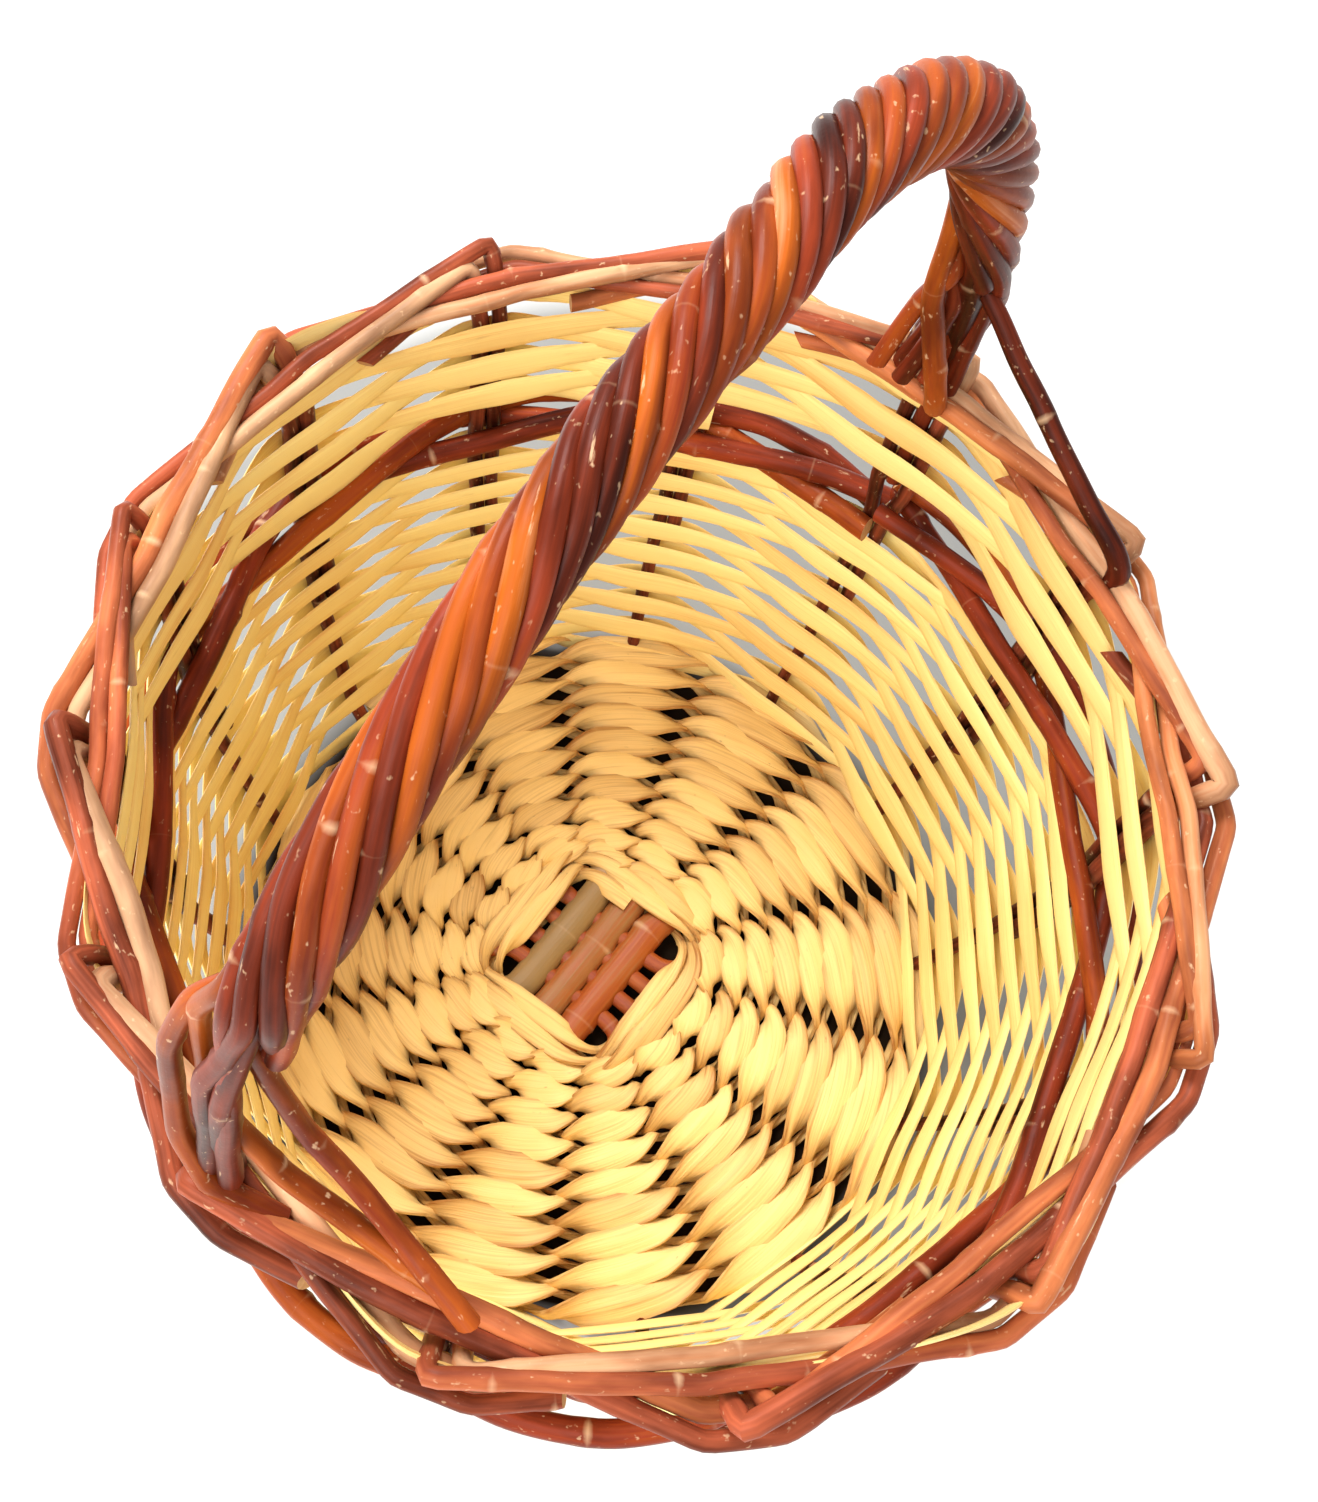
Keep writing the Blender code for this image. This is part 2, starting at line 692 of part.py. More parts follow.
def own_gap(points):
    """The least gap between two lengths of one rod that are a turn apart or more."""
    line = np.array(points)
    least = math.inf
    for first in range(len(line)):
        for second in range(first + WRAP_TURN_POINT_COUNT // 2, len(line)):
            least = min(least, float(np.linalg.norm(line[first] - line[second])))
    return least - 2 * WRAP_RADIUS


def make_brace(collection, material):
    """A rod from the handle's leg down into the border, beside the next pair of stakes."""
    arch, lengths = bow_line()
    rise = next(index for index, point in enumerate(arch) if point[2] > BORDER_TOP + BRACE_RISE)
    ring = BOW_RADIUS + 2 * WRAP_RADIUS + WRAP_SLACK + 2 * GAP + BRACE_RADIUS
    azimuth = stake_azimuth(HANDLE_STAKES[0])
    along = np.array([-math.sin(azimuth), math.cos(azimuth), 0])
    top = arch[rise] - along * ring
    beside = -PAIR_HALF - STAKE_RADIUS - GAP - BRACE_RADIUS
    mouth = on_wall(BRACE_STAKE, beside, 0, BORDER_TOP)
    foot = on_wall(BRACE_STAKE, beside, 0, BORDER_TOP - BRACE_DEPTH)
    rod = add_rod("handle_brace", [top, mouth, foot], BRACE_RADIUS, material)
    collection.objects.link(rod)


def main():
    clear_scene()
    collection = make_collection("willow_basket")
    cutters = make_collection("cutters", hidden=True)
    materials = {name: make_material(name, colour) for name, colour in COLOURS.items()}
    make_base_sticks(collection, cutters, materials["stick"])
    make_base_weavers(collection, materials["rush"])
    make_stakes(collection, materials["stake"], materials["border"])
    make_canes(collection, materials["cane"])
    make_wales(collection, materials["wale"])
    make_bow(collection, materials["bow"])
    make_wraps(collection, materials["wrap"])
    make_brace(collection, materials["stake"])


main()
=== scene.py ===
"""The looks of a round willow basket with a bow handle wrapped like a rope.

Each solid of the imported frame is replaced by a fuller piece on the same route: rods with
bark, leaf scars and cut ends, split cane, and pairs of rush that twist round each other.
The handle runs along X, and the basket stands on Z = 0. Lengths are in metres.
"""

import math

import bmesh
import bpy
import numpy as np
from bpy.props import (
    FloatProperty,
    FloatVectorProperty,
    IntProperty,
    PointerProperty,
)
from bpy.types import Operator, Panel, PropertyGroup
from mathutils import Matrix, Vector


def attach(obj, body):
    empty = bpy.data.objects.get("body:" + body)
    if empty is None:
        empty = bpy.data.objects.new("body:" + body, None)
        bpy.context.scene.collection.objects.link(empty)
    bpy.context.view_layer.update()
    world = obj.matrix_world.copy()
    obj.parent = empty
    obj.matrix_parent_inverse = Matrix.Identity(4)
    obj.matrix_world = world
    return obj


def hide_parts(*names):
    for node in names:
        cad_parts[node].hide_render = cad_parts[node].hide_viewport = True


bl_info = {
    "name": "Willow Basket",
    "version": (1, 0, 0),
    "blender": (4, 5, 0),
    "location": "3D View > Sidebar > Basket",
    "description": "Builds the rods, cane and rush of a willow basket round its frame",
    "category": "Object",
}

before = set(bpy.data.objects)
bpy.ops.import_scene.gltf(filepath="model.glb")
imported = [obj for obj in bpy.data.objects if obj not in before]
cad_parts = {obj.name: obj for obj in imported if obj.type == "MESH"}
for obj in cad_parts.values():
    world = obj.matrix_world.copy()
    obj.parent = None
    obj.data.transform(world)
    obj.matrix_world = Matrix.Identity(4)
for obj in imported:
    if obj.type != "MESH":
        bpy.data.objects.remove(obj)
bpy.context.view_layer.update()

BODY = "root"
STAKE_COUNT = 14
THICK_STICK_COUNT = 3
THIN_STICK_COUNT = 4
WALE_COUNT = 3
WRAP_COUNT = 9
HANDLE_STAKES = (0, STAKE_COUNT // 2)
SPACING = math.tau / STAKE_COUNT

# Hand-made unevenness, as in the frame
OVAL_SHARE = 0.04
BASE_OVAL_SHARE = 0.02
OVAL_AZIMUTH = math.radians(51)
STAKE_DRIFT = math.radians(5)
STAKE_DRIFT_AZIMUTH = math.radians(50)
STAKE_TURN = math.radians(-1.5)

# Base
SPOKE_RADIUS = 0.0034
SPOKE_HEIGHT = 0.0053
THICK_STICK_RADIUS = 0.0058
THICK_STICK_PITCH = 0.0116
THIN_STICK_RADIUS = 0.0031
THIN_STICK_PITCH = 0.0090
FAN_START = 0.0285
FAN_END = 0.048
BASE_RADIUS = 0.1155

# Wall
BASE_WALL_RADIUS = 0.1205
BELLY_RADIUS = 0.1415
BELLY_HEIGHT = 0.128
RIM_RADIUS = 0.1390
RIM_HEIGHT = 0.196
BY_STAKE_HEIGHT = 0.075
ROOT_LENGTH = 0.0032
ROOT_BEND = 0.0065
UPPER_WALL = 0.150
WALE_HEIGHT = 0.1278
WALE_CLIMB = 0.0132
WALE_SWING = 0.0080
WALE_SHIFT = 0.0016
WALE_RISE = 0.0034
WALE_START = 0

# Border
BORDER_STEP = 0.0055
BORDER_RISE = 0.0140
BORDER_PAIR_HALF = 0.0027
BORDER_SWING = 0.0066
LEAD_REACH_SHARE = 2.62
TRAIL_REACH_SHARE = 2.48
PAIR_PASS_SHARE = 0.13
BORDER_TOP_RISE = 0.0024
BORDER_TOP = RIM_HEIGHT + BORDER_RISE + BORDER_TOP_RISE
FLARE = 0.0048
FLARE_START = 0.186
FLARE_END = 0.205
KINK_HEIGHT = 0.0085
LEAD_KINK = (0.0030, 0.0018, 0.2068)
TRAIL_KINK = (0.0010, 0.0054, 0.2088)

# Handle
HANDLE_HEIGHT = 0.369
HANDLE_FULLNESS = 2.44
HANDLE_LEAN = 0.010
HANDLE_SWAY = 0.012
HANDLE_SWAY_START_SHARE = 0.40
BOW_FOOT = 0.151
BOW_TIP_RADIUS = 0.0026
WRAP_START = 0.0460
WRAP_END = 0.0980
WRAP_TURNS = 3.79
WRAP_EASE_SHARE = 0.33

# The photograph's frame and the camera fitted to it
PHOTO_WIDTH = 1318
PHOTO_HEIGHT = 1502
FOCAL_PIXELS = 1700
MIDDLE_PIXEL = (589, 681)
CAMERA_PLACE = (-0.1513, -0.0593, 0.5937)
CAMERA_AXES = (
    (0.6141, 0.6994, -0.3657),
    (-0.7851, 0.5885, -0.1930),
    (0.0802, 0.4056, 0.9105),
)


def from_hex(code):
    """A display colour such as D9A441 as the linear numbers that Blender holds."""
    parts = [int(code[start : start + 2], 16) / 255 for start in (0, 2, 4)]
    return tuple(
        part / 12.92 if part <= 0.04045 else ((part + 0.055) / 1.055) ** 2.4 for part in parts
    )


def length_property(name, description, default):
    return FloatProperty(
        name=name, description=description, default=default, min=0, subtype="DISTANCE", precision=4
    )


def power_property(name, description, default):
    return FloatProperty(name=name, description=description, default=default, min=0, unit="POWER")


def colour_property(name, description, code):
    return FloatVectorProperty(
        name=name,
        description=description,
        default=from_hex(code),
        size=3,
        min=0,
        max=1,
        subtype="COLOR",
    )


class BasketSizes(PropertyGroup):
    stake_radius: length_property("Stake", "Radius of the stakes and by-stakes", 0.0027)
    wale_radius: length_property("Waling", "Radius of the waling rods", 0.0035)
    wrap_radius: length_property("Wrapping", "Radius of the rods round the handle", 0.0024)
    bow_radius: length_property("Bow", "Radius of the rod inside the handle", 0.0049)
    cane_thickness: length_property("Cane", "Thickness of the split cane", 0.0015)
    lower_cane_width: length_property("Lower cane", "Width below the waling", 0.0072)
    lower_cane_pitch: length_property("Lower pitch", "Rise from a row to the next", 0.0069)
    upper_cane_width: length_property("Upper cane", "Width above the waling", 0.0099)
    upper_cane_pitch: length_property("Upper pitch", "Rise from a row to the next", 0.0085)
    rush_width: length_property("Rush", "Width of a flat rush at the top of a stroke", 0.0116)
    rush_pitch: length_property("Rush pitch", "Distance from a round to the next", 0.0094)
    seed: IntProperty(name="Seed", description="Seed of the unevenness", default=7, min=0)


class BasketColours(PropertyGroup):
    bark_dark: colour_property("Dark bark", "Purple-brown bark", "47190C")
    bark_red: colour_property("Red bark", "Red-brown bark", "8C351B")
    bark_orange: colour_property("Orange bark", "Orange bark", "A85214")
    border_red: colour_property("Border red", "Pink-brown bark of the border", "AE5638")
    border_orange: colour_property("Border orange", "Light bark of the border", "CE7A48")
    bark_pale: colour_property("Pale bark", "Tan bark", "CE9E76")
    scar: colour_property("Leaf scar", "Scars and scuffs of the bark", "D9B48C")
    pith: colour_property("Cut end", "Wood at a cut end", "C9A070")
    cane: colour_property("Cane", "Split cane", "FFE898")
    cane_shade: colour_property("Cane edge", "Edges and stains of the cane", "DC9A42")
    rush: colour_property("Rush", "Dry rush", "FAD284")
    # The rush's creases and stains, and also the colour of the painted shade at the tips of its
    # strokes
    rush_shade: colour_property("Rush crease", "Creases and stains of the rush", "A46A2A")
    peeled: colour_property("Peeled stick", "Sticks of the base", "987848")


class BasketStage(PropertyGroup):
    floor: colour_property("Floor", "Colour of the floor", "F4F4F2")
    # Grey ground round the base, which also serves as a painted soft shadow of the basket
    ground: colour_property("Ground", "Colour of the ground round the base", "8E8E8C")
    # Painted shadow: the dark colour painted on the floor under the base, where the base casts its
    # shade
    painted_shadow: colour_property("Shade", "Colour of the ground under the base", "241A12")
    key_power: power_property("Key", "Main lamp", 28)
    fill_power: power_property("Fill", "Second lamp", 20)
    sky: FloatProperty(name="Sky", description="Strength of the world's light", default=0.72, min=0)


def sizes():
    return bpy.context.scene.basket_sizes


def colours():
    return bpy.context.scene.basket_colours


def stage_settings():
    return bpy.context.scene.basket_stage


SEED_SHIFTS = {
    "sticks": 0,
    "weave": 1,
    "stakes": 2,
    "canes": 3,
    "wales": 4,
    "bow": 5,
    "wraps": 6,
    "brace": 8,
}


def chance_of(group):
    """The random numbers of a group of pieces, which are the same on each run."""
    return np.random.default_rng(sizes().seed + SEED_SHIFTS[group])


class Value:
    """A socket that can be used in a sum, where each sign adds its Math node."""

    def __init__(self, shader, socket):
        self.shader = shader
        self.socket = socket

    def joined(self, operation, first, second):
        node = self.shader.add("ShaderNodeMath", {"operation": operation}, {0: first, 1: second})
        return Value(self.shader, node.outputs[0])

    def __add__(self, other):
        return self.joined("ADD", self, other)

    def __radd__(self, other):
        return self.joined("ADD", other, self)

    def __sub__(self, other):
        return self.joined("SUBTRACT", self, other)

    def __mul__(self, other):
        return self.joined("MULTIPLY", self, other)

    def __rmul__(self, other):
        return self.joined("MULTIPLY", other, self)


class Shader:
    """A material and its nodes, added one at a time."""

    def __init__(self, name):
        self.material = bpy.data.materials.new(name)
        self.material.use_nodes = True
        self.tree = self.material.node_tree
        self.surface = self.tree.nodes["Principled BSDF"]

    def add(self, kind, settings=None, inputs=None):
        node = self.tree.nodes.new(kind)
        for key, setting in (settings or {}).items():
            if key == "stops":
                self.fill_ramp(node.color_ramp, setting)
            else:
                setattr(node, key, setting)
        self.feed(node, inputs or {})
        return node

    def feed(self, node, inputs):
        for key, given in inputs.items():
            if isinstance(given, Value):
                self.tree.links.new(given.socket, node.inputs[key])
            elif isinstance(given, bpy.types.NodeSocket):
                self.tree.links.new(given, node.inputs[key])
            else:
                node.inputs[key].default_value = given

    def fill_ramp(self, ramp, stops):
        while len(ramp.elements) < len(stops):
            ramp.elements.new(1)
        for element, (place, colour) in zip(ramp.elements, stops):
            element.position = place
            element.color = (*colour, 1)

    def attribute(self, name, output="Fac"):
        node = self.add("ShaderNodeAttribute", {"attribute_name": name})
        return Value(self, node.outputs[output])

    def distance(self, vector, point):
        node = self.add(
            "ShaderNodeVectorMath", {"operation": "DISTANCE"}, {0: vector, 1: point}
        )
        return Value(self, node.outputs["Value"])

    def noises(self, table):
        """Noises from 0 to 1 on the grain, from rows of NOISES."""
        grain = self.attribute("grain", "Vector")
        found = []
        for along, across, detail, roughness in table:
            place = self.add(
                "ShaderNodeVectorMath",
                {"operation": "MULTIPLY"},
                {0: grain, 1: (along, across, across)},
            )
            noise = self.add(
                "ShaderNodeTexNoise",
                {},
                {
                    "Vector": place.outputs[0],
                    "Scale": 1.0,
                    "Detail": detail,
                    "Roughness": roughness,
                },
            )
            found.append(Value(self, noise.outputs[0]))
        return found

    def between(self, value, low, high):
        """0 below low and 1 above high, with a straight way between."""
        node = self.add(
            "ShaderNodeMapRange", {}, {"Value": value, "From Min": low, "From Max": high}
        )
        return Value(self, node.outputs[0])

    def ramp(self, value, stops):
        node = self.add("ShaderNodeValToRGB", {"stops": stops}, {0: value})
        return node.outputs[0]

    def mix(self, share, first, second, blend="MIX"):
        """Two colours mixed: the share of the second goes from 0 to 1."""
        node = self.add(
            "ShaderNodeMix",
            {"data_type": "RGBA", "blend_type": blend},
            {"Factor": share},
        )
        for index, given in ((6, first), (7, second)):
            if isinstance(given, bpy.types.NodeSocket):
                self.tree.links.new(given, node.inputs[index])
            else:
                node.inputs[index].default_value = (*given[:3], 1)
        return node.outputs[2]

    def layer(self, colour, value, reach, other, blend="MIX"):
        """A colour with another over it from where the reach starts to where it is full."""
        start, full, strength = reach
        return self.mix(self.between(value, start, full) * strength, colour, other, blend)

    def darkness(self, values, reaches, tone_weight):
        """How dark a piece is: each value within its reach, and the piece's own tone."""
        parts = [
            self.between(value, start, full) * strength
            for value, (start, full, strength) in zip(values, reaches)
        ]
        return added([*parts, (self.attribute("tone") - 0.5) * tone_weight])

    def finish(self, colour, roughness, height, relief):
        """The material with its colour, roughness and relief."""
        distance, strength = relief
        bump = self.add(
            "ShaderNodeBump",
            {},
            {"Height": height, "Distance": distance, "Strength": strength},
        )
        self.feed(
            self.surface,
            {"Base Color": colour, "Roughness": roughness, "Normal": bump.outputs[0]},
        )
        return self.material


def added(parts):
    total = parts[0]
    for part in parts[1:]:
        total = total + part
    return total


def weighed(values, weights):
    return added([value * weight for value, weight in zip(values, weights)])


# Each noise is its scale along a piece and across it, per metre, its detail and roughness
NOISES = {
    "bark": ((26, 120, 4, 0.5), (14, 900, 3, 0.5), (420, 620, 2, 0.5), (70, 420, 5, 0.62)),
    "cut_end": ((300, 900, 3, 0.5),),
    "split_cane": ((12, 2600, 3, 0.5), (9, 60, 3, 0.5), (34, 260, 4, 0.6)),
    "dry_rush": ((16, 1700, 3, 0.5), (30, 520, 3, 0.5), (11, 40, 3, 0.5), (240, 520, 3, 0.6)),
    "peeled_stick": ((20, 900, 4, 0.5), (60, 160, 4, 0.5)),
}
# The lowest roughness, and what a noise adds to it
ROUGHNESS = {
    "bark": (0.26, 0.3),
    "cut_end": (0.8, 0.0),
    "split_cane": (0.42, 0.25),
    "dry_rush": (0.45, 0.3),
    "peeled_stick": (0.42, 0.25),
}
# The distance and the strength of each relief
RELIEF = {
    "bark": (0.0004, 0.55),
    "cut_end": (0.0003, 0.6),
    "split_cane": (0.0003, 0.5),
    "dry_rush": (0.0006, 0.6),
    "peeled_stick": (0.0004, 0.5),
}

BARK_STOPS = (0.0, 0.34, 0.66, 0.95)
BARK_PATCH_WEIGHT = 0.5
BARK_STREAK_WEIGHT = 0.36
BARK_RELIEF_WEIGHTS = (0.5, 0.3, 0.6)
BARK_IOR = 1.2

# Each reach is where a layer starts, where it is full, and its strength
SHADE_REACH = (0.6, 0.36, 0.6)
SPECK_REACH = (0.67, 0.76, 0.55)
SCUFF_REACH = (0.66, 0.72, 0.6)
RING_REACH = (0.35, 0.9, 0.6)


def bark_material():
    """Bark of the handle, the waling and the brace."""
    tint = colours()
    return bark_of("bark", tint.bark_red, tint.bark_orange)


def border_bark_material():
    """Bark of the stakes, duller and pinker."""
    tint = colours()
    return bark_of("border_bark", tint.border_red, tint.border_orange)


def bark_of(name, red, orange):
    """Willow bark, whose colour runs with the rod's own tone from dark to pale."""
    tint = colours()
    shader = Shader(name)
    patches, streaks, specks, scuffs = shader.noises(NOISES["bark"])
    shifted = (
        shader.attribute("tone")
        + (patches - 0.5) * BARK_PATCH_WEIGHT
        + (streaks - 0.5) * BARK_STREAK_WEIGHT
    )
    barks = (tint.bark_dark, red, orange, tint.bark_pale)
    colour = shader.ramp(shifted, list(zip(BARK_STOPS, barks)))
    colour = shader.layer(colour, patches, SHADE_REACH, tint.bark_dark, "MULTIPLY")
    colour = shader.layer(colour, specks, SPECK_REACH, tint.scar)
    colour = shader.layer(colour, scuffs, SCUFF_REACH, tint.scar)
    colour = shader.layer(colour, shader.attribute("knot"), RING_REACH, tint.scar)
    lowest, spread = ROUGHNESS["bark"]
    shader.feed(shader.surface, {"IOR": BARK_IOR})
    height = weighed((streaks, specks, patches), BARK_RELIEF_WEIGHTS)
    return shader.finish(colour, lowest + spread * patches, height, RELIEF["bark"])


def cut_material():
    """The pale wood and dark pith of a cut end."""
    tint = colours()
    shader = Shader("cut_end")
    (rings,) = shader.noises(NOISES["cut_end"])
    colour = shader.mix(rings, tint.pith, tint.rush_shade)
    return shader.finish(colour, ROUGHNESS["cut_end"][0], rings, RELIEF["cut_end"])


CANE_REACHES = ((0.5, 0.75, 0.3), (0.5, 0.72, 0.4), (0.75, 1.0, 0.35))
CANE_TONE_WEIGHT = 0.4
CANE_FULL_DARKNESS = 1.0
STAIN_REACH = (0.66, 0.8, 0.45)


def cane_material():
    """Split cane: long pale fibres, with darker edges and a few stained lengths."""
    tint = colours()
    shader = Shader("split_cane")
    fibres, lengths, stains = shader.noises(NOISES["split_cane"])
    edge = shader.attribute("edge")
    dark = shader.darkness((fibres, lengths, edge), CANE_REACHES, CANE_TONE_WEIGHT)
    share = shader.between(dark, 0.0, CANE_FULL_DARKNESS)
    colour = shader.mix(share, tint.cane, tint.cane_shade)
    colour = shader.layer(colour, stains, STAIN_REACH, tint.rush_shade, "MULTIPLY")
    lowest, spread = ROUGHNESS["split_cane"]
    return shader.finish(colour, lowest + spread * fibres, fibres, RELIEF["split_cane"])


RUSH_REACHES = ((0.48, 0.74, 0.35), (0.55, 0.78, 0.45), (0.7, 1.0, 0.5), (0.5, 0.75, 0.3))
RUSH_TONE_WEIGHT = 0.5
RUSH_FULL_DARKNESS = 1.1
RUSH_FIBRE_RELIEF = 0.6
SPOT_REACH = (0.68, 0.78, 0.4)


def rush_material():
    """Dry rush: fine fibres along each strand, brown creases and dull gold."""
    tint = colours()
    shader = Shader("dry_rush")
    fibres, folds, lengths, spots = shader.noises(NOISES["dry_rush"])
    edge = shader.attribute("edge")
    # The tone holds each stroke's own tone and the painted shade at its tips
    dark = shader.darkness((fibres, folds, edge, lengths), RUSH_REACHES, RUSH_TONE_WEIGHT)
    share = shader.between(dark, 0.0, RUSH_FULL_DARKNESS)
    colour = shader.mix(share, tint.rush, tint.rush_shade)
    colour = shader.layer(colour, spots, SPOT_REACH, tint.bark_dark, "MULTIPLY")
    lowest, spread = ROUGHNESS["dry_rush"]
    height = fibres * RUSH_FIBRE_RELIEF + folds
    return shader.finish(colour, lowest + spread * folds, height, RELIEF["dry_rush"])


STICK_STOPS = (0.1, 0.4, 0.75)
STICK_WEIGHTS = (0.5, 0.4, 0.8)
STICK_RING_REACH = (0.3, 0.9, 0.7)


def stick_material():
    """Peeled brown sticks of the base."""
    tint = colours()
    shader = Shader("peeled_stick")
    fibres, patches = shader.noises(NOISES["peeled_stick"])
    share = weighed((fibres, patches, shader.attribute("tone") - 0.5), STICK_WEIGHTS)
    browns = (tint.bark_red, tint.bark_orange, tint.peeled)
    colour = shader.ramp(share, list(zip(STICK_STOPS, browns)))
    colour = shader.layer(colour, shader.attribute("knot"), STICK_RING_REACH, tint.scar)
    lowest, spread = ROUGHNESS["peeled_stick"]
    roughness = lowest + spread * patches
    return shader.finish(colour, roughness, fibres + patches, RELIEF["peeled_stick"])


def material(name):
    """A material of the basket, made when it is first asked for."""
    makers = {
        "bark": bark_material,
        "border_bark": border_bark_material,
        "cut_end": cut_material,
        "split_cane": cane_material,
        "dry_rush": rush_material,
        "peeled_stick": stick_material,
    }
    return bpy.data.materials.get(name) or makers[name]()


def stake_azimuth(place):
    """The direction of a place counted in stakes, which may fall between two of them."""
    turn = place * SPACING
    return turn + STAKE_TURN + STAKE_DRIFT * math.cos(turn - STAKE_DRIFT_AZIMUTH)


def wall_radius(height):
    """The wall opens from the base to the belly, and draws in a little to the rim."""
    if height < BELLY_HEIGHT:
        share = (height - SPOKE_HEIGHT) / (BELLY_HEIGHT - SPOKE_HEIGHT)
        rise = math.sin(share * math.pi / 2)
        return BASE_WALL_RADIUS + (BELLY_RADIUS - BASE_WALL_RADIUS) * rise
    share = min(1, (height - BELLY_HEIGHT) / (RIM_HEIGHT - BELLY_HEIGHT))
    return BELLY_RADIUS - (BELLY_RADIUS - RIM_RADIUS) * share**2


def wall_slope(height):
    """How far the wall leans outward there, as an angle."""
    near = 0.0005
    return math.atan2(wall_radius(height + near) - wall_radius(height - near), 2 * near)


def wale_height(place):
    """The waling climbs with the cane below it, and so ends a round of cane higher."""
    return WALE_HEIGHT + WALE_CLIMB * ((place - WALE_START) % STAKE_COUNT) / STAKE_COUNT


def polar(azimuth, radius, height):
    return (radius * math.cos(azimuth), radius * math.sin(azimuth), height)


def on_wall(place, along, offset, height):
    """A point of the wall: along it from a place counted in stakes, and out from it."""
    azimuth = stake_azimuth(place)
    oval = 1 + OVAL_SHARE * math.cos(2 * (azimuth - OVAL_AZIMUTH))
    radius = wall_radius(height) * oval
    return polar(azimuth + along / radius, radius + offset, height)


def on_base(azimuth, radius, height):
    oval = 1 + BASE_OVAL_SHARE * math.cos(2 * (azimuth - OVAL_AZIMUTH))
    return polar(azimuth, radius * oval, height)


def pair_half(stake, height):
    """Half the distance between the rods of a pair, wider round the handle's bow."""
    radius = sizes().stake_radius
    if stake % STAKE_COUNT in HANDLE_STAKES and height > WALE_HEIGHT + WALE_RISE:
        return radius + BOW_TIP_RADIUS
    return radius


def smooth_line(points, step, tension):
    """The points joined by a smooth line, read again at even steps along it."""
    line = np.array(points, float)
    gaps = np.linalg.norm(np.diff(line, axis=0), axis=1)
    slopes = np.diff(line, axis=0) / gaps[:, None]
    tangents = np.empty_like(line)
    tangents[0] = slopes[0]
    tangents[-1] = slopes[-1]
    before = gaps[:-1, None]
    after = gaps[1:, None]
    tangents[1:-1] = (slopes[:-1] * after + slopes[1:] * before) / (before + after)
    tangents *= 1 - tension
    pieces = []
    for index, gap in enumerate(gaps):
        count = max(2, math.ceil(gap / step) * 2)
        t = np.linspace(0, 1, count, endpoint=False)[:, None]
        pieces.append(
            line[index] * (2 * t**3 - 3 * t**2 + 1)
            + tangents[index] * gap * (t**3 - 2 * t**2 + t)
            + line[index + 1] * (3 * t**2 - 2 * t**3)
            + tangents[index + 1] * gap * (t**3 - t**2)
        )
    fine = np.concatenate([*pieces, line[-1:]])
    lengths = run_lengths(fine)
    count = max(2, round(lengths[-1] / step))
    even = np.linspace(0, lengths[-1], count + 1)
    return at_lengths(fine, lengths, even)


BEND_SAMPLES = 5


def bent_line(points, step, bend):
    """Straight lengths between the points, with the corners bent round over a length."""
    line = np.array(points, float)
    lengths = run_lengths(line)
    reach = 3 * BEND_SAMPLES
    count = max(2 * reach, round(lengths[-1] / (bend / BEND_SAMPLES)))
    dense = at_lengths(line, lengths, np.linspace(0, lengths[-1], count + 1))
    window = np.exp(-0.5 * (np.arange(-reach, reach + 1) / BEND_SAMPLES) ** 2)
    window /= window.sum()
    before = 2 * dense[0] - dense[reach:0:-1]
    after = 2 * dense[-1] - dense[-2 : -reach - 2 : -1]
    padded = np.concatenate([before, dense, after])
    smooth = np.stack([np.convolve(padded[:, axis], window, "valid") for axis in range(3)], 1)
    lengths = run_lengths(smooth)
    even = np.linspace(0, lengths[-1], max(2, round(lengths[-1] / step)) + 1)
    return at_lengths(smooth, lengths, even)


def at_lengths(line, lengths, places):
    return np.stack([np.interp(places, lengths, line[:, axis]) for axis in range(3)], axis=1)


def run_lengths(line):
    steps = np.linalg.norm(np.diff(line, axis=0), axis=1)
    return np.concatenate([[0], np.cumsum(steps)])


def tangents_of(line):
    tangents = np.gradient(line, axis=0)
    return tangents / np.linalg.norm(tangents, axis=1)[:, None]


RIPPLE_SHARES = (1.0, 0.57, 0.31)
RIPPLE_PEAK = 1.9


def ripple(chance, lengths, period, amount):
    """A smooth random change along a length, made of a few waves."""
    total = np.zeros(len(lengths))
    for share in RIPPLE_SHARES:
        phase = chance.uniform(0, math.tau)
        total += share * np.sin(math.tau * lengths / (period * share) + phase)
    return total * amount / RIPPLE_PEAK


def carried_frames(line):
    """Side and top directions along a line, turned no more than the line turns."""
    tangents = tangents_of(line)
    start = Vector(tangents[0]).orthogonal().normalized()
    sides = [np.array(start)]
    for before, after in zip(tangents[:-1], tangents[1:]):
        turn = Vector(before).rotation_difference(Vector(after))
        sides.append(np.array(turn @ Vector(sides[-1])))
    sides = np.array(sides)
    return sides, np.cross(tangents, sides)


def faced_frames(line, normals):
    """Side and top directions along a line whose top looks along the normals."""
    tangents = tangents_of(line)
    tops = normals - (normals * tangents).sum(1)[:, None] * tangents
    tops /= np.linalg.norm(tops, axis=1)[:, None]
    return np.cross(tops, tangents), tops


# Pieces of unlike names read the noises at places apart
GRAIN_PLACES = 97
GRAIN_STEP = 0.713


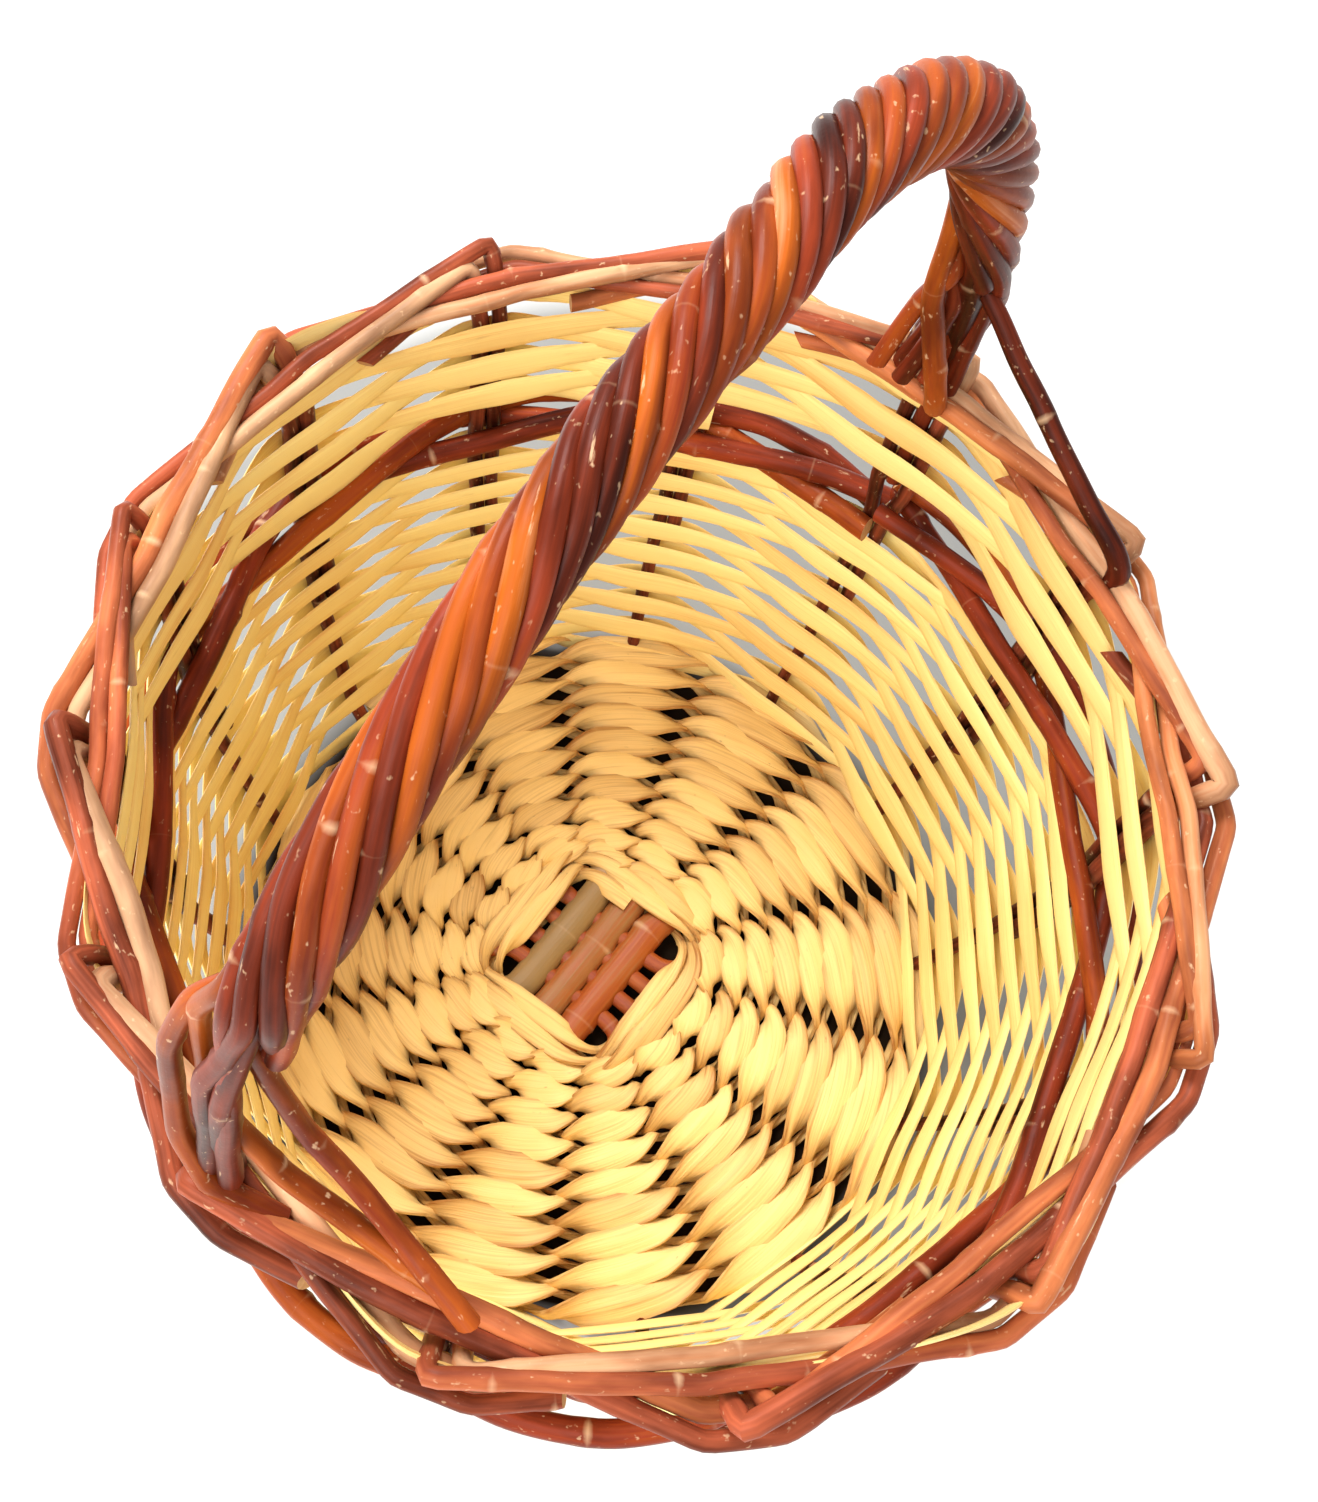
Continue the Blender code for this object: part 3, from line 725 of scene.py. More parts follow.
def skin(name, line, sides, tops, outlines, values, slant=(0, 0)):
    """A closed mesh over outlines that follow a line.

    outlines holds each ring's points as (side, top). values holds numbers for each point,
    by attribute name. The grain attribute is a point's place as if the piece lay straight.
    """
    rings, around = outlines.shape[:2]
    across = outlines[:, :, :1] * sides[:, None] + outlines[:, :, 1:] * tops[:, None]
    points = line[:, None] + across
    tangents = tangents_of(line)
    for ring, share in ((0, slant[0]), (-1, slant[1])):
        points[ring] += tangents[ring] * outlines[ring, :, :1] * share
    lengths = run_lengths(line)
    offset = (sum(name.encode()) % GRAIN_PLACES) * GRAIN_STEP
    grain = np.empty((rings, around, 3))
    grain[:, :, 0] = (lengths + offset)[:, None]
    grain[:, :, 1:] = outlines
    ring = np.arange(rings - 1)[:, None] * around
    here = np.arange(around)[None]
    there = (here + 1) % around
    quads = np.stack([ring + here, ring + there, ring + around + there, ring + around + here], 2)
    faces = quads.reshape(-1, 4).tolist()
    faces.append(list(range(around))[::-1])
    faces.append([(rings - 1) * around + index for index in range(around)])
    mesh = bpy.data.meshes.new(name)
    mesh.from_pydata(points.reshape(-1, 3).tolist(), [], faces)
    attribute = mesh.attributes.new("grain", "FLOAT_VECTOR", "POINT")
    attribute.data.foreach_set("vector", grain.astype(np.float32).ravel())
    for key, numbers in values.items():
        full = np.broadcast_to(numbers, (rings, around)).astype(np.float32)
        attribute = mesh.attributes.new(key, "FLOAT", "POINT")
        attribute.data.foreach_set("value", full.ravel())
    piece = bpy.data.objects.new(name, mesh)
    bpy.context.scene.collection.objects.link(piece)
    return piece


def outward(piece):
    """Turns all faces of a closed piece to point out."""
    work = bmesh.new()
    work.from_mesh(piece.data)
    bmesh.ops.recalc_face_normals(work, faces=work.faces)
    work.to_mesh(piece.data)
    work.free()


SHARP_ANGLE = math.radians(50)


def finish_piece(piece, nodes, materials):
    """Gives a piece its materials, smooth shading and its place in the frame."""
    outward(piece)
    for name in materials:
        piece.data.materials.append(material(name))
    if len(materials) > 1:
        for cap in list(piece.data.polygons)[-2:]:
            cap.material_index = 1
    bpy.ops.object.select_all(action="DESELECT")
    bpy.context.view_layer.objects.active = piece
    piece.select_set(True)
    bpy.ops.object.shade_smooth_by_angle(angle=SHARP_ANGLE)
    piece.select_set(False)
    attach(piece, BODY)
    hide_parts(*nodes)


ROD_STEP = 0.0022
WAVE_PERIODS = (0.07, 0.09)
THICKNESS_PERIOD = 0.05
THICKNESS_SHARE = 0.035
START_SLANT = 0.6
END_SLANT = 0.9
TONE_PERIOD = 0.12
TONE_SWING = 0.05
# Leaf scars: a swelling with a bud on one side, and a pale ring just beyond it
FIRST_SCAR = (0.01, 0.035)
SCAR_GAP = (0.024, 0.052)
SCAR_LENGTH = 0.0021
SCAR_SWELL = 0.045
BUD_SWELL = 0.14
RING_BEYOND = 0.0008
RING_LENGTH = 0.0011
RING_TONE = 0.45
BUD_TONE = 0.55
# The lengths of painted shade at a rod's ends by the handle's feet, and the share of its tone that
# they start with
PAINTED_SHADE_START_LENGTH = 0.07
PAINTED_SHADE_START_SHARE = 0.4
PAINTED_SHADE_END_LENGTH = 0.09
PAINTED_SHADE_END_SHARE = 0.6
# The tone of a stake down in the wall, a painted shade
PAINTED_SHADE_ROOT_TONE = 0.08


def make_rod(
    name,
    points,
    radius,
    chance,
    tone,
    taper=((0, 1), (1, 1)),
    around=12,
    bend=0.0025,
    wave=0.0004,
    slant=None,
    painted_shade_start=False,
    painted_shade_end=False,
    painted_shade_root=False,
):
    """A rod with bark: it tapers, waves a little, and has leaf scars and cut ends."""
    line = bent_line(points, ROD_STEP, bend)
    lengths = run_lengths(line)
    total = lengths[-1]
    sides, tops = carried_frames(line)
    for way, period in zip((sides, tops), WAVE_PERIODS):
        line = line + way * ripple(chance, lengths, period, wave)[:, None]
    radii = radius * np.interp(lengths / total, *np.array(taper).T)
    radii = radii * (1 + ripple(chance, lengths, THICKNESS_PERIOD, THICKNESS_SHARE))
    angles = np.arange(around) / around * math.tau
    swell = np.ones((len(line), around))
    knot = np.zeros((len(line), around))
    place = chance.uniform(*FIRST_SCAR)
    while place < total:
        bud = chance.uniform(0, math.tau)
        facing = np.clip(np.cos(angles - bud), 0, 1) ** 3
        near = np.exp(-(((lengths - place) / SCAR_LENGTH) ** 2))
        swell += near[:, None] * (SCAR_SWELL + BUD_SWELL * facing)[None]
        ring = np.exp(-(((lengths - place - RING_BEYOND) / RING_LENGTH) ** 2))
        knot = np.maximum(knot, ring[:, None] * (RING_TONE + BUD_TONE * facing)[None])
        place += chance.uniform(*SCAR_GAP)
    reach = radii[:, None] * swell
    outlines = np.stack([reach * np.cos(angles), reach * np.sin(angles)], axis=2)
    cut = [chance.uniform(-most, most) for most in (START_SLANT, END_SLANT)]
    tones = tone + ripple(chance, lengths, TONE_PERIOD, TONE_SWING)
    # Painted shade: a wrapping rod darkens towards its ends at the handle's feet
    if painted_shade_start:
        tones = tones * np.interp(lengths, (0, PAINTED_SHADE_START_LENGTH), (PAINTED_SHADE_START_SHARE, 1))
    if painted_shade_end:
        tones = tones * np.interp(total - lengths, (0, PAINTED_SHADE_END_LENGTH), (PAINTED_SHADE_END_SHARE, 1))
    # Painted shade: a stake's length in the wall is darkened, up to where the border flares
    if painted_shade_root:
        share = np.clip((line[:, 2] - FLARE_START) / (FLARE_END - FLARE_START), 0, 1)
        passed = np.maximum.accumulate(share)
        tones = PAINTED_SHADE_ROOT_TONE + (tones - PAINTED_SHADE_ROOT_TONE) * passed
    values = {"tone": tones[:, None], "knot": knot}
    return skin(name, line, sides, tops, outlines, values, slant or cut)


STRIP_ACROSS = (-1, -0.86, -0.4, 0, 0.4, 0.86, 1, 0.86, 0.4, 0, -0.4, -0.86)
STRIP_LIFT = (0, 0.62, 0.94, 1, 0.94, 0.62, 0, -0.62, -0.94, -1, -0.94, -0.62)


def strip_outline(width, thickness):
    """The outline of a flat strip with thin edges, and how near each point is to an edge."""
    halves = np.stack([width, thickness], axis=1) / 2
    shape = np.stack([STRIP_ACROSS, STRIP_LIFT], axis=1)
    return halves[:, None] * shape[None], np.abs(STRIP_ACROSS)


def spoke_group(stake):
    """The middle of the group of spokes that a stake's spoke starts in, and their pitch."""
    quarter = STAKE_COUNT / 4
    groups = (
        (0, THICK_STICK_COUNT, THICK_STICK_PITCH),
        (quarter, THIN_STICK_COUNT, THIN_STICK_PITCH),
        (2 * quarter, THICK_STICK_COUNT, THICK_STICK_PITCH),
        (3 * quarter, THIN_STICK_COUNT, THIN_STICK_PITCH),
    )
    for middle, count, pitch in groups:
        if abs(stake - middle) <= count / 2:
            return middle, pitch


def spoke_start(stake):
    """The azimuth at which a spoke enters the weave, still side by side with its group."""
    turns = (stake + THICK_STICK_COUNT // 2) // STAKE_COUNT
    middle, pitch = spoke_group(stake - turns * STAKE_COUNT)
    offset = (stake - turns * STAKE_COUNT - middle) * pitch
    return turns * math.tau + middle * SPACING + math.asin(offset / FAN_START)


def spoke_azimuth(place, radius):
    """The azimuth of a spoke, or of a place between two, as the spokes fan out."""
    low = math.floor(place)
    inner = spoke_start(low)
    inner += (spoke_start(low + 1) - inner) * (place - low)
    fan = (radius - FAN_START) / (FAN_END - FAN_START)
    fan = max(0, min(1, fan))
    return inner + (stake_azimuth(place) - inner) * fan * fan * (3 - 2 * fan)


STICK_POINTS = 6


def stick_route(stakes):
    """A stick's points from one stake through the middle to the stake opposite."""
    points = []
    for stake, order in ((stakes[0], 1), (stakes[1], -1)):
        half = []
        for reach in np.linspace(BASE_RADIUS, FAN_START, STICK_POINTS):
            half.append(on_base(spoke_azimuth(stake, reach), reach, SPOKE_HEIGHT))
        points += half[::order]
    return points


# The sticks lie a little flat, are thick in the middle only, and differ in colour
STICK_FLATNESS = 0.74
STICK_SHARES = (0, 0.33, 0.37, 0.63, 0.67, 1)
STICK_TONES = {"pierced_stick": (0.45, 0.62, 1.0), "threaded_stick": (0.3, 0.3, 0.3, 0.3)}
STICK_FORM = {"around": 16, "slant": (0, 0), "wave": 0.0002, "bend": 0.004}


def make_base_sticks():
    chance = chance_of("sticks")
    jobs = []
    for index in range(THICK_STICK_COUNT):
        side = index - THICK_STICK_COUNT // 2
        stakes = (side, STAKE_COUNT // 2 - side)
        jobs.append(("pierced_stick", index + 1, stakes, THICK_STICK_RADIUS))
    for index in range(THIN_STICK_COUNT):
        side = index - (THIN_STICK_COUNT - 1) / 2
        stakes = (round(STAKE_COUNT / 4 - side), round(3 * STAKE_COUNT / 4 + side))
        jobs.append(("threaded_stick", index + 1, stakes, THIN_STICK_RADIUS))
    for kind, number, stakes, radius in jobs:
        end = SPOKE_RADIUS / radius
        piece = make_rod(
            f"peeled_{kind}_{number}",
            stick_route(stakes),
            radius,
            chance,
            STICK_TONES[kind][number - 1],
            taper=list(zip(STICK_SHARES, (end, end, 1, 1, end, end))),
            **STICK_FORM,
        )
        for vertex in piece.data.vertices:
            vertex.co.z = SPOKE_HEIGHT + (vertex.co.z - SPOKE_HEIGHT) * STICK_FLATNESS
        finish_piece(piece, [f"{kind}_{number}"], ["peeled_stick", "cut_end"])


RUSH_START_RADIUS = 0.0232
SQUARE_ROUNDS = 2
SQUARE_SIDES = 4
RUSH_TURN_SHARE = 0.86
RUSH_END_RADIUS = 0.1214
RUSH_SWAY = 0.0044
RUSH_SWAY_STROKE = 0.030
RUSH_DROP = 0.0034
RUSH_CLEARANCE = 0.0014
LIFT_RADII = (0.028, 0.042)
RUSH_LIFTS = (0.0058, 0.0042)
TIP_SHARES = ((0, 0.5, 0.85, 1), (1, 1, 0.72, 0.5))
SQUARE_PITCH = 0.0058
SQUARE_WIDTH_SHARE = 0.66
# The rounds over which the square grows into a circle
SQUARE_ROUND_START = 0.3
SQUARE_ROUND_LENGTH = SQUARE_ROUNDS + 0.6
SQUARE_POWER = 9
CIRCLE_POWER = 2
SQUARE_STRETCH = 0.04
# How fast the strokes of rush take up the spokes' own places after the square
FAN_RATE = 1.5
# Samples from one stake to the next, and across a rush
WEAVE_SAMPLES = 22
RUSH_SAMPLES = 13
# How flat the top of a turn is, and the tilt below which the room above the floor is even
FLAT_POWER = 0.6
LEAST_TILT = 0.1
# Each stroke has its own width, tone and crease, and its tips are darker, a painted shade where
# they go down under the next stroke
STROKE_WIDTHS = (0.86, 1.14)
STROKE_TONES = (0.0, 1.0)
STROKE_CREASES = (-0.45, 0.45)
PAINTED_TIP_SHADE = 0.5
CREASE_DEPTH = 0.0010
ROLL_HEIGHT = 0.0006
RUSH_HALF = 0.0005
ROLL_HALF = 0.0004
# Ridges along a rush: how many sets, their rates across it, and how they wander
RIDGE_SETS = 3
RIDGE_RATES = (4.0, 11.0)
RIDGE_HEIGHT = 0.00006
RIDGE_PERIOD = 0.16
RIDGE_WANDER = 1.6


def rush_radius(rounds):
    """The first rounds, along the sides of the square, lie closer together."""
    square = min(rounds, SQUARE_ROUNDS)
    return RUSH_START_RADIUS + SQUARE_PITCH * square + sizes().rush_pitch * (rounds - square)


def rush_axis(place):
    """Where the pair of rush is at a place counted in stakes, and its twist there."""
    rounds = place / STAKE_COUNT
    radius = rush_radius(rounds)
    if rounds <= SQUARE_ROUNDS:
        station = place * SQUARE_SIDES / STAKE_COUNT
        azimuth = place * math.tau / STAKE_COUNT
    else:
        station = SQUARE_ROUNDS * SQUARE_SIDES + place - SQUARE_ROUNDS * STAKE_COUNT
        share = min(1, (rounds - SQUARE_ROUNDS) * FAN_RATE)
        plain = place * math.tau / STAKE_COUNT
        azimuth = plain + (spoke_azimuth(place, radius) - plain) * share
    square_share = 1 - min(1, max(0, (rounds - SQUARE_ROUND_START) / SQUARE_ROUND_LENGTH))
    power = SQUARE_POWER * square_share**2 + CIRCLE_POWER
    cosine = abs(math.cos(azimuth)) ** power
    sine = abs(math.sin(azimuth)) ** power
    radius /= (cosine + sine) ** (1 / power)
    stretch = SQUARE_STRETCH * square_share
    across = radius * (1 + stretch) * math.cos(azimuth)
    along = radius * (1 - stretch) * math.sin(azimuth)
    twist = station - RUSH_TURN_SHARE * math.sin(math.tau * station) / math.tau
    return across, along, math.pi * twist, station


def make_base_weave():
    """Two flat rushes twined round the sticks, which twist past each other between them."""
    chance = chance_of("weave")
    width = sizes().rush_width
    wide_rounds = (RUSH_END_RADIUS - rush_radius(SQUARE_ROUNDS)) / sizes().rush_pitch
    last = (SQUARE_ROUNDS + wide_rounds) * STAKE_COUNT
    places = np.linspace(0, last, round(last * WEAVE_SAMPLES))
    axis = np.array([rush_axis(place) for place in places])
    flat = np.stack([axis[:, 0], axis[:, 1], np.full(len(axis), SPOKE_HEIGHT)], axis=1)
    outward_way = np.stack([axis[:, 0], axis[:, 1], np.zeros(len(axis))], axis=1)
    outward_way /= np.linalg.norm(outward_way, axis=1)[:, None]
    radii = np.linalg.norm(axis[:, :2], axis=1)
    lift = np.interp(radii, LIFT_RADII, RUSH_LIFTS)
    lengths = run_lengths(flat)
    strokes = np.clip(radii * SPACING / RUSH_SWAY_STROKE, 0, 1) * RUSH_SWAY
    squared = places / STAKE_COUNT - SQUARE_ROUNDS + 1
    share = np.linspace(-1, 1, RUSH_SAMPLES)
    for strand in range(2):
        angle = axis[:, 2] + strand * math.pi + math.pi / 2
        out, up = np.cos(angle), np.sin(angle)
        phase = (axis[:, 3] + strand + 1 / 2) % 2
        sway = np.abs(2 * phase - 2) - 1
        line = flat + outward_way * (sway * strokes)[:, None]
        flatter = np.sign(up) * np.abs(up) ** FLAT_POWER
        line[:, 2] += flatter * np.where(up < 0, RUSH_DROP, lift)
        normals = outward_way * out[:, None]
        normals[:, 2] += up
        sides, tops = faced_frames(line, normals)
        stroke = np.floor(axis[:, 3] + strand + 1 / 2).astype(int)
        widths, tones, creases = (
            chance.uniform(*ends, stroke.max() + 2)[stroke]
            for ends in (STROKE_WIDTHS, STROKE_TONES, STROKE_CREASES)
        )
        from_middle = np.abs(2 * (phase % 1) - 1)
        wide = np.interp(from_middle, *TIP_SHARES)
        wide = wide * np.interp(squared, (0, 1), (SQUARE_WIDTH_SHARE, 1))
        room = (line[:, 2] - RUSH_CLEARANCE) / np.maximum(np.abs(out), LEAST_TILT)
        spread = np.minimum(width * wide * widths, 2 * room)
        bulge = (1 - np.abs(up))[:, None] * (1 - share**2)[None]
        height = -np.abs(share[None] - creases[:, None]) * CREASE_DEPTH + bulge * ROLL_HEIGHT
        relief = np.zeros((len(line), len(share)))
        for wave in range(RIDGE_SETS):
            rate = chance.uniform(*RIDGE_RATES)
            shift = ripple(chance, lengths, RIDGE_PERIOD, RIDGE_WANDER)
            relief += np.cos(share[None] * rate + shift[:, None] + wave) * RIDGE_HEIGHT
        half = RUSH_HALF + ROLL_HALF * bulge
        across = spread[:, None] / 2 * share[None]
        upper = np.stack([across, height + relief + half], 2)
        lower = np.stack([across, height + relief - half], 2)
        outlines = np.concatenate([upper, lower[:, ::-1]], axis=1)
        edge = np.abs(np.concatenate([share, share[::-1]]))
        # The tips of each stroke are darkened as painted shade
        tone = tones + PAINTED_TIP_SHADE * from_middle**3
        values = {"tone": tone[:, None], "edge": edge[None]}
        piece = skin(f"rush_strand_{strand + 1}", line, sides, tops, outlines, values)
        finish_piece(piece, [f"base_weaver_{strand + 1}"], ["dry_rush"])


def flared(place, along, offset, height):
    """A point of the border, where the stakes lean out above the wall."""
    lean = (height - FLARE_START) / (FLARE_END - FLARE_START)
    return on_wall(place, along, offset + FLARE * max(0, min(1, lean)), height)


HEIGHT_CHANCE = (-0.0004, 0.0004)
SWING_CHANCE = (-0.0007, 0.0007)
KINK_CHANCE = (-0.0004, 0.0020)
REACH_CHANCE = (-0.08, 0.05)
STAKE_SIZE_CHANCE = (0.82, 1.12)
ROOT_GAP = 0.0006
STAKE_POINTS = 6
BY_STAKE_POINTS = 3


def border_run(stake, side, reach, chance):
    """The laid-down length of a rod: inside the next pair, outside, and inside again."""
    points = []
    places = []
    for passed in range(1, math.ceil(reach)):
        places += [passed - PAIR_PASS_SHARE, passed + PAIR_PASS_SHARE]
    for place in [*places, reach]:
        swing = 1 - 2 * min(1, (place - PAIR_PASS_SHARE) % 1 / (1 - 2 * PAIR_PASS_SHARE))
        if math.floor(place - PAIR_PASS_SHARE) % 2:
            swing = -swing
        height = RIM_HEIGHT + BORDER_RISE - BORDER_STEP * place + chance.uniform(*HEIGHT_CHANCE)
        offset = BORDER_SWING * swing + side * BORDER_PAIR_HALF + chance.uniform(*SWING_CHANCE)
        points.append(flared(stake + place, 0, offset, height))
    return points


def kink_points(stake, half, kink, chance):
    """The top of an upright rod and the sharp fold over which it is laid down."""
    along, offset, height = kink
    return [
        on_wall(stake, half, 0, UPPER_WALL),
        on_wall(stake, half, 0, FLARE_START),
        flared(stake, half + along / 2, offset / 2, RIM_HEIGHT + KINK_HEIGHT),
        flared(stake, half + along, offset + chance.uniform(*KINK_CHANCE), height),
    ]


def stake_route(stake, reach, chance):
    azimuth = stake_azimuth(stake) + sizes().stake_radius / BASE_RADIUS
    points = [on_base(azimuth, BASE_RADIUS + far, SPOKE_HEIGHT) for far in (ROOT_GAP, ROOT_LENGTH)]
    half = pair_half(stake, 0)
    for height in np.linspace(SPOKE_HEIGHT + ROOT_BEND, BELLY_HEIGHT, STAKE_POINTS):
        points.append(on_wall(stake, half, 0, height))
    half = pair_half(stake, RIM_HEIGHT)
    points += kink_points(stake, half, LEAD_KINK, chance)
    return points + border_run(stake, -1, reach, chance)


def by_stake_route(stake, reach, chance):
    half = pair_half(stake, 0)
    heights = np.linspace(BY_STAKE_HEIGHT, BELLY_HEIGHT, BY_STAKE_POINTS)
    points = [on_wall(stake, -half, 0, height) for height in heights]
    half = pair_half(stake, RIM_HEIGHT)
    points += kink_points(stake, -half, TRAIL_KINK, chance)
    return points + border_run(stake, 1, reach, chance)


BORDER_TONES = (0.16, 0.28, 0.4, 0.48, 0.54, 0.62, 0.72, 0.88, 1.0)
# The stakes are darkened in the wall as painted shade
STAKE_FORM = {"taper": ((0, 1), (0.5, 1.06), (1, 0.9)), "bend": 0.0015, "painted_shade_root": True}


def make_stakes():
    chance = chance_of("stakes")
    for stake in range(STAKE_COUNT):
        for kind, route, reach in (
            ("stake", stake_route, LEAD_REACH_SHARE),
            ("by_stake", by_stake_route, TRAIL_REACH_SHARE),
        ):
            points = route(stake, reach + chance.uniform(*REACH_CHANCE), chance)
            node = f"{kind}_{stake + 1:02d}"
            piece = make_rod(
                f"willow_{node}",
                points,
                sizes().stake_radius * chance.uniform(*STAKE_SIZE_CHANCE),
                chance,
                BORDER_TONES[chance.integers(len(BORDER_TONES))],
                **STAKE_FORM,
            )
            finish_piece(piece, [node], ["border_bark", "cut_end"])


CANE_SLACK = 0.0005
CANE_BOTTOM = 0.0028
CANE_CLEARANCE = 0.0006
UPPER_CANE_OVERLAP = 0.0080
LOWER_CANE_START = 2
# Stakes that a cane goes before its start and beyond its full height
CANE_LEAD_IN = 2
CANE_LEAD_OUT = 2
PAIR_GAP = 0.0008
CANE_DRIFT = 0.0010
CANE_STEP = 0.003
CANE_TENSION = 0.25
# A cane is wider where it passes over a pair, and changes from stroke to stroke
CANE_WIDTH_SHARE = 0.96
CANE_SPREAD_SHARE = 0.5
CANE_STROKE_WIDTHS = (0.84, 1.12)
CANE_STROKE_TONES = (0.0, 1.1)
# The period and the amount of each slow change along a cane
CANE_WIDTH_RIPPLE = (0.05, 0.06)
CANE_THICKNESS_RIPPLE = (0.09, 0.1)
CANE_TONE_RIPPLE = (0.11, 0.25)


def wall_offset(line):
    """How far out from the wall's middle each point of a line lies."""
    azimuths = np.arctan2(line[:, 1], line[:, 0])
    ovals = 1 + OVAL_SHARE * np.cos(2 * (azimuths - OVAL_AZIMUTH))
    walls = np.array([wall_radius(height) for height in line[:, 2]])
    return np.hypot(line[:, 0], line[:, 1]) - walls * ovals


def cane_route(stake, strand, low, highest, pitch, chance):
    """A strip's way round and up the wall, outside one pair and inside the next."""
    radius = sizes().stake_radius
    offset = radius + CANE_SLACK + sizes().cane_thickness / 2
    points = []
    first = stake
    stake -= CANE_LEAD_IN
    height = low
    over = 0
    while height <= highest(stake) or over < CANE_LEAD_OUT:
        over += height > highest(stake)
        side = (-1) ** (stake + strand)
        half = pair_half(stake, height) + radius + PAIR_GAP
        drift = chance.uniform(-CANE_DRIFT, CANE_DRIFT)
        for end in (-1, 1):
            level = min(height, highest(stake)) + drift
            points.append(flared(stake, end * half, side * offset, level))
        stake += 1
        height = low + 2 * pitch * max(0, stake - first) / STAKE_COUNT
    return points


def by_stroke(chance, places, low, high):
    """A random number for each stroke between two stakes, with smooth changes between."""
    strokes = np.arange(math.floor(places.min()), math.ceil(places.max()) + 2)
    return np.interp(places, strokes, chance.uniform(low, high, len(strokes)))


def make_cane(name, node, route, width, chance):
    size = sizes()
    line = smooth_line(route, CANE_STEP, CANE_TENSION)
    lengths = run_lengths(line)
    azimuths = np.arctan2(line[:, 1], line[:, 0])
    places = np.unwrap(azimuths) / SPACING
    slopes = np.array([wall_slope(height) for height in line[:, 2]])
    normals = np.stack(
        [
            np.cos(azimuths) * np.cos(slopes),
            np.sin(azimuths) * np.cos(slopes),
            -np.sin(slopes),
        ],
        axis=1,
    )
    sides, tops = faced_frames(line, normals)
    offsets = np.abs(wall_offset(line)) / (size.stake_radius + size.cane_thickness)
    wide = width * (CANE_WIDTH_SHARE + CANE_SPREAD_SHARE * np.clip(offsets, 0, 1) ** 2)
    wide = wide * by_stroke(chance, places, *CANE_STROKE_WIDTHS)
    wide = wide * (1 + ripple(chance, lengths, *CANE_WIDTH_RIPPLE))
    wide = np.minimum(wide, 2 * (line[:, 2] - CANE_CLEARANCE))
    thick = size.cane_thickness * (1 + ripple(chance, lengths, *CANE_THICKNESS_RIPPLE))
    outline, edge = strip_outline(wide, thick)
    tone = by_stroke(chance, places, *CANE_STROKE_TONES)
    tone = tone + ripple(chance, lengths, *CANE_TONE_RIPPLE)
    values = {"tone": tone[:, None], "edge": edge[None]}
    piece = skin(name, line, sides, tops, outline, values)
    finish_piece(piece, [node], ["split_cane"])


def make_canes():
    """Two strips chase each other up the wall below the waling, and two above it."""
    chance = chance_of("canes")
    size = sizes()
    band = WALE_RISE + size.wale_radius

    def below_waling(place):
        return wale_height(place) - band - size.lower_cane_width / 2

    def below_border(place):
        return BORDER_TOP - BORDER_RISE + UPPER_CANE_OVERLAP - size.upper_cane_width / 2

    upper_start = WALE_START + 1 + CANE_LEAD_IN
    for strand in range(2):
        lower_start = strand * STAKE_COUNT // 2 + LOWER_CANE_START
        bands = (
            ("lower_cane", lower_start, CANE_BOTTOM, 0, below_waling),
            (
                "upper_cane",
                upper_start,
                wale_height(upper_start) + band,
                strand * size.upper_cane_pitch,
                below_border,
            ),
        )
        for kind, start, bottom, rise, highest in bands:
            width = getattr(size, f"{kind}_width")
            pitch = getattr(size, f"{kind}_pitch")
            low = bottom + width / 2 + rise
            route = cane_route(start, strand, low, highest, pitch, chance)
            node = f"{kind}_{strand + 1}"
            make_cane(f"split_{node}", node, route, width, chance)


WALE_TONES = (0.3, 0.46, 0.22)
WALE_FORM = {"taper": ((0, 1.1), (1, 0.9)), "wave": 0.0003, "bend": 0.006}
# The share of a stake's spacing by which the waling stops short of its start
WALE_STOP_SHARE = 0.015


def make_wales():
    """Three rods twined round the wall, each outside two pairs and inside one."""
    chance = chance_of("wales")
    for index in range(WALE_COUNT):
        points = []
        for step in range(WALE_COUNT * STAKE_COUNT + 1):
            passed = min(step / WALE_COUNT, STAKE_COUNT - WALE_STOP_SHARE)
            angle = (passed + index + 1 / 2) * math.tau / WALE_COUNT
            out = WALE_SHIFT + WALE_SWING * math.cos(angle)
            height = wale_height(passed + WALE_START) + WALE_RISE * math.sin(angle)
            points.append(on_wall(passed + WALE_START, 0, out, height))
        piece = make_rod(
            f"willow_waling_{index + 1}",
            points,
            sizes().wale_radius,
            chance,
            WALE_TONES[index],
            **WALE_FORM,
        )
        finish_piece(piece, [f"waling_rod_{index + 1}"], ["bark", "cut_end"])


ARCH_SAMPLES = 400
BOW_POINTS = 40
# The bow's bark is dark, and where it shows between the rods at the feet it also serves as painted
# shade
BOW_TONE = 0.1
BOW_FORM = {"around": 14, "wave": 0.0001}
# The bow grows from its thin start, and thins early under the rods laid along the border
BOW_SHARES = (0, 0.12, 0.18, 0.5, 0.66, 0.74, 1)
BOW_THINNING = 0.8


def arch_line():
    """The middle line of the handle's arch above the border."""
    feet = [np.array(on_wall(stake, 0, 0, BORDER_TOP)) for stake in HANDLE_STAKES]
    middle = (feet[0] + feet[1]) / 2
    half = (feet[0] - feet[1]) / 2
    angles = np.linspace(0, math.pi, ARCH_SAMPLES)
    power = 2 / HANDLE_FULLNESS
    cosine = np.cos(angles)
    across = np.sign(cosine) * np.abs(cosine) ** power
    lift = np.abs(np.sin(angles)) ** power
    points = middle + across[:, None] * half
    swayed = np.linspace(0, 1, ARCH_SAMPLES) - HANDLE_SWAY_START_SHARE
    swayed = np.clip(swayed / (1 - HANDLE_SWAY_START_SHARE), 0, 1)
    points[:, 1] += HANDLE_LEAN * lift - HANDLE_SWAY * np.sin(math.pi * swayed)
    points[:, 2] += (HANDLE_HEIGHT - BORDER_TOP) * lift
    return points


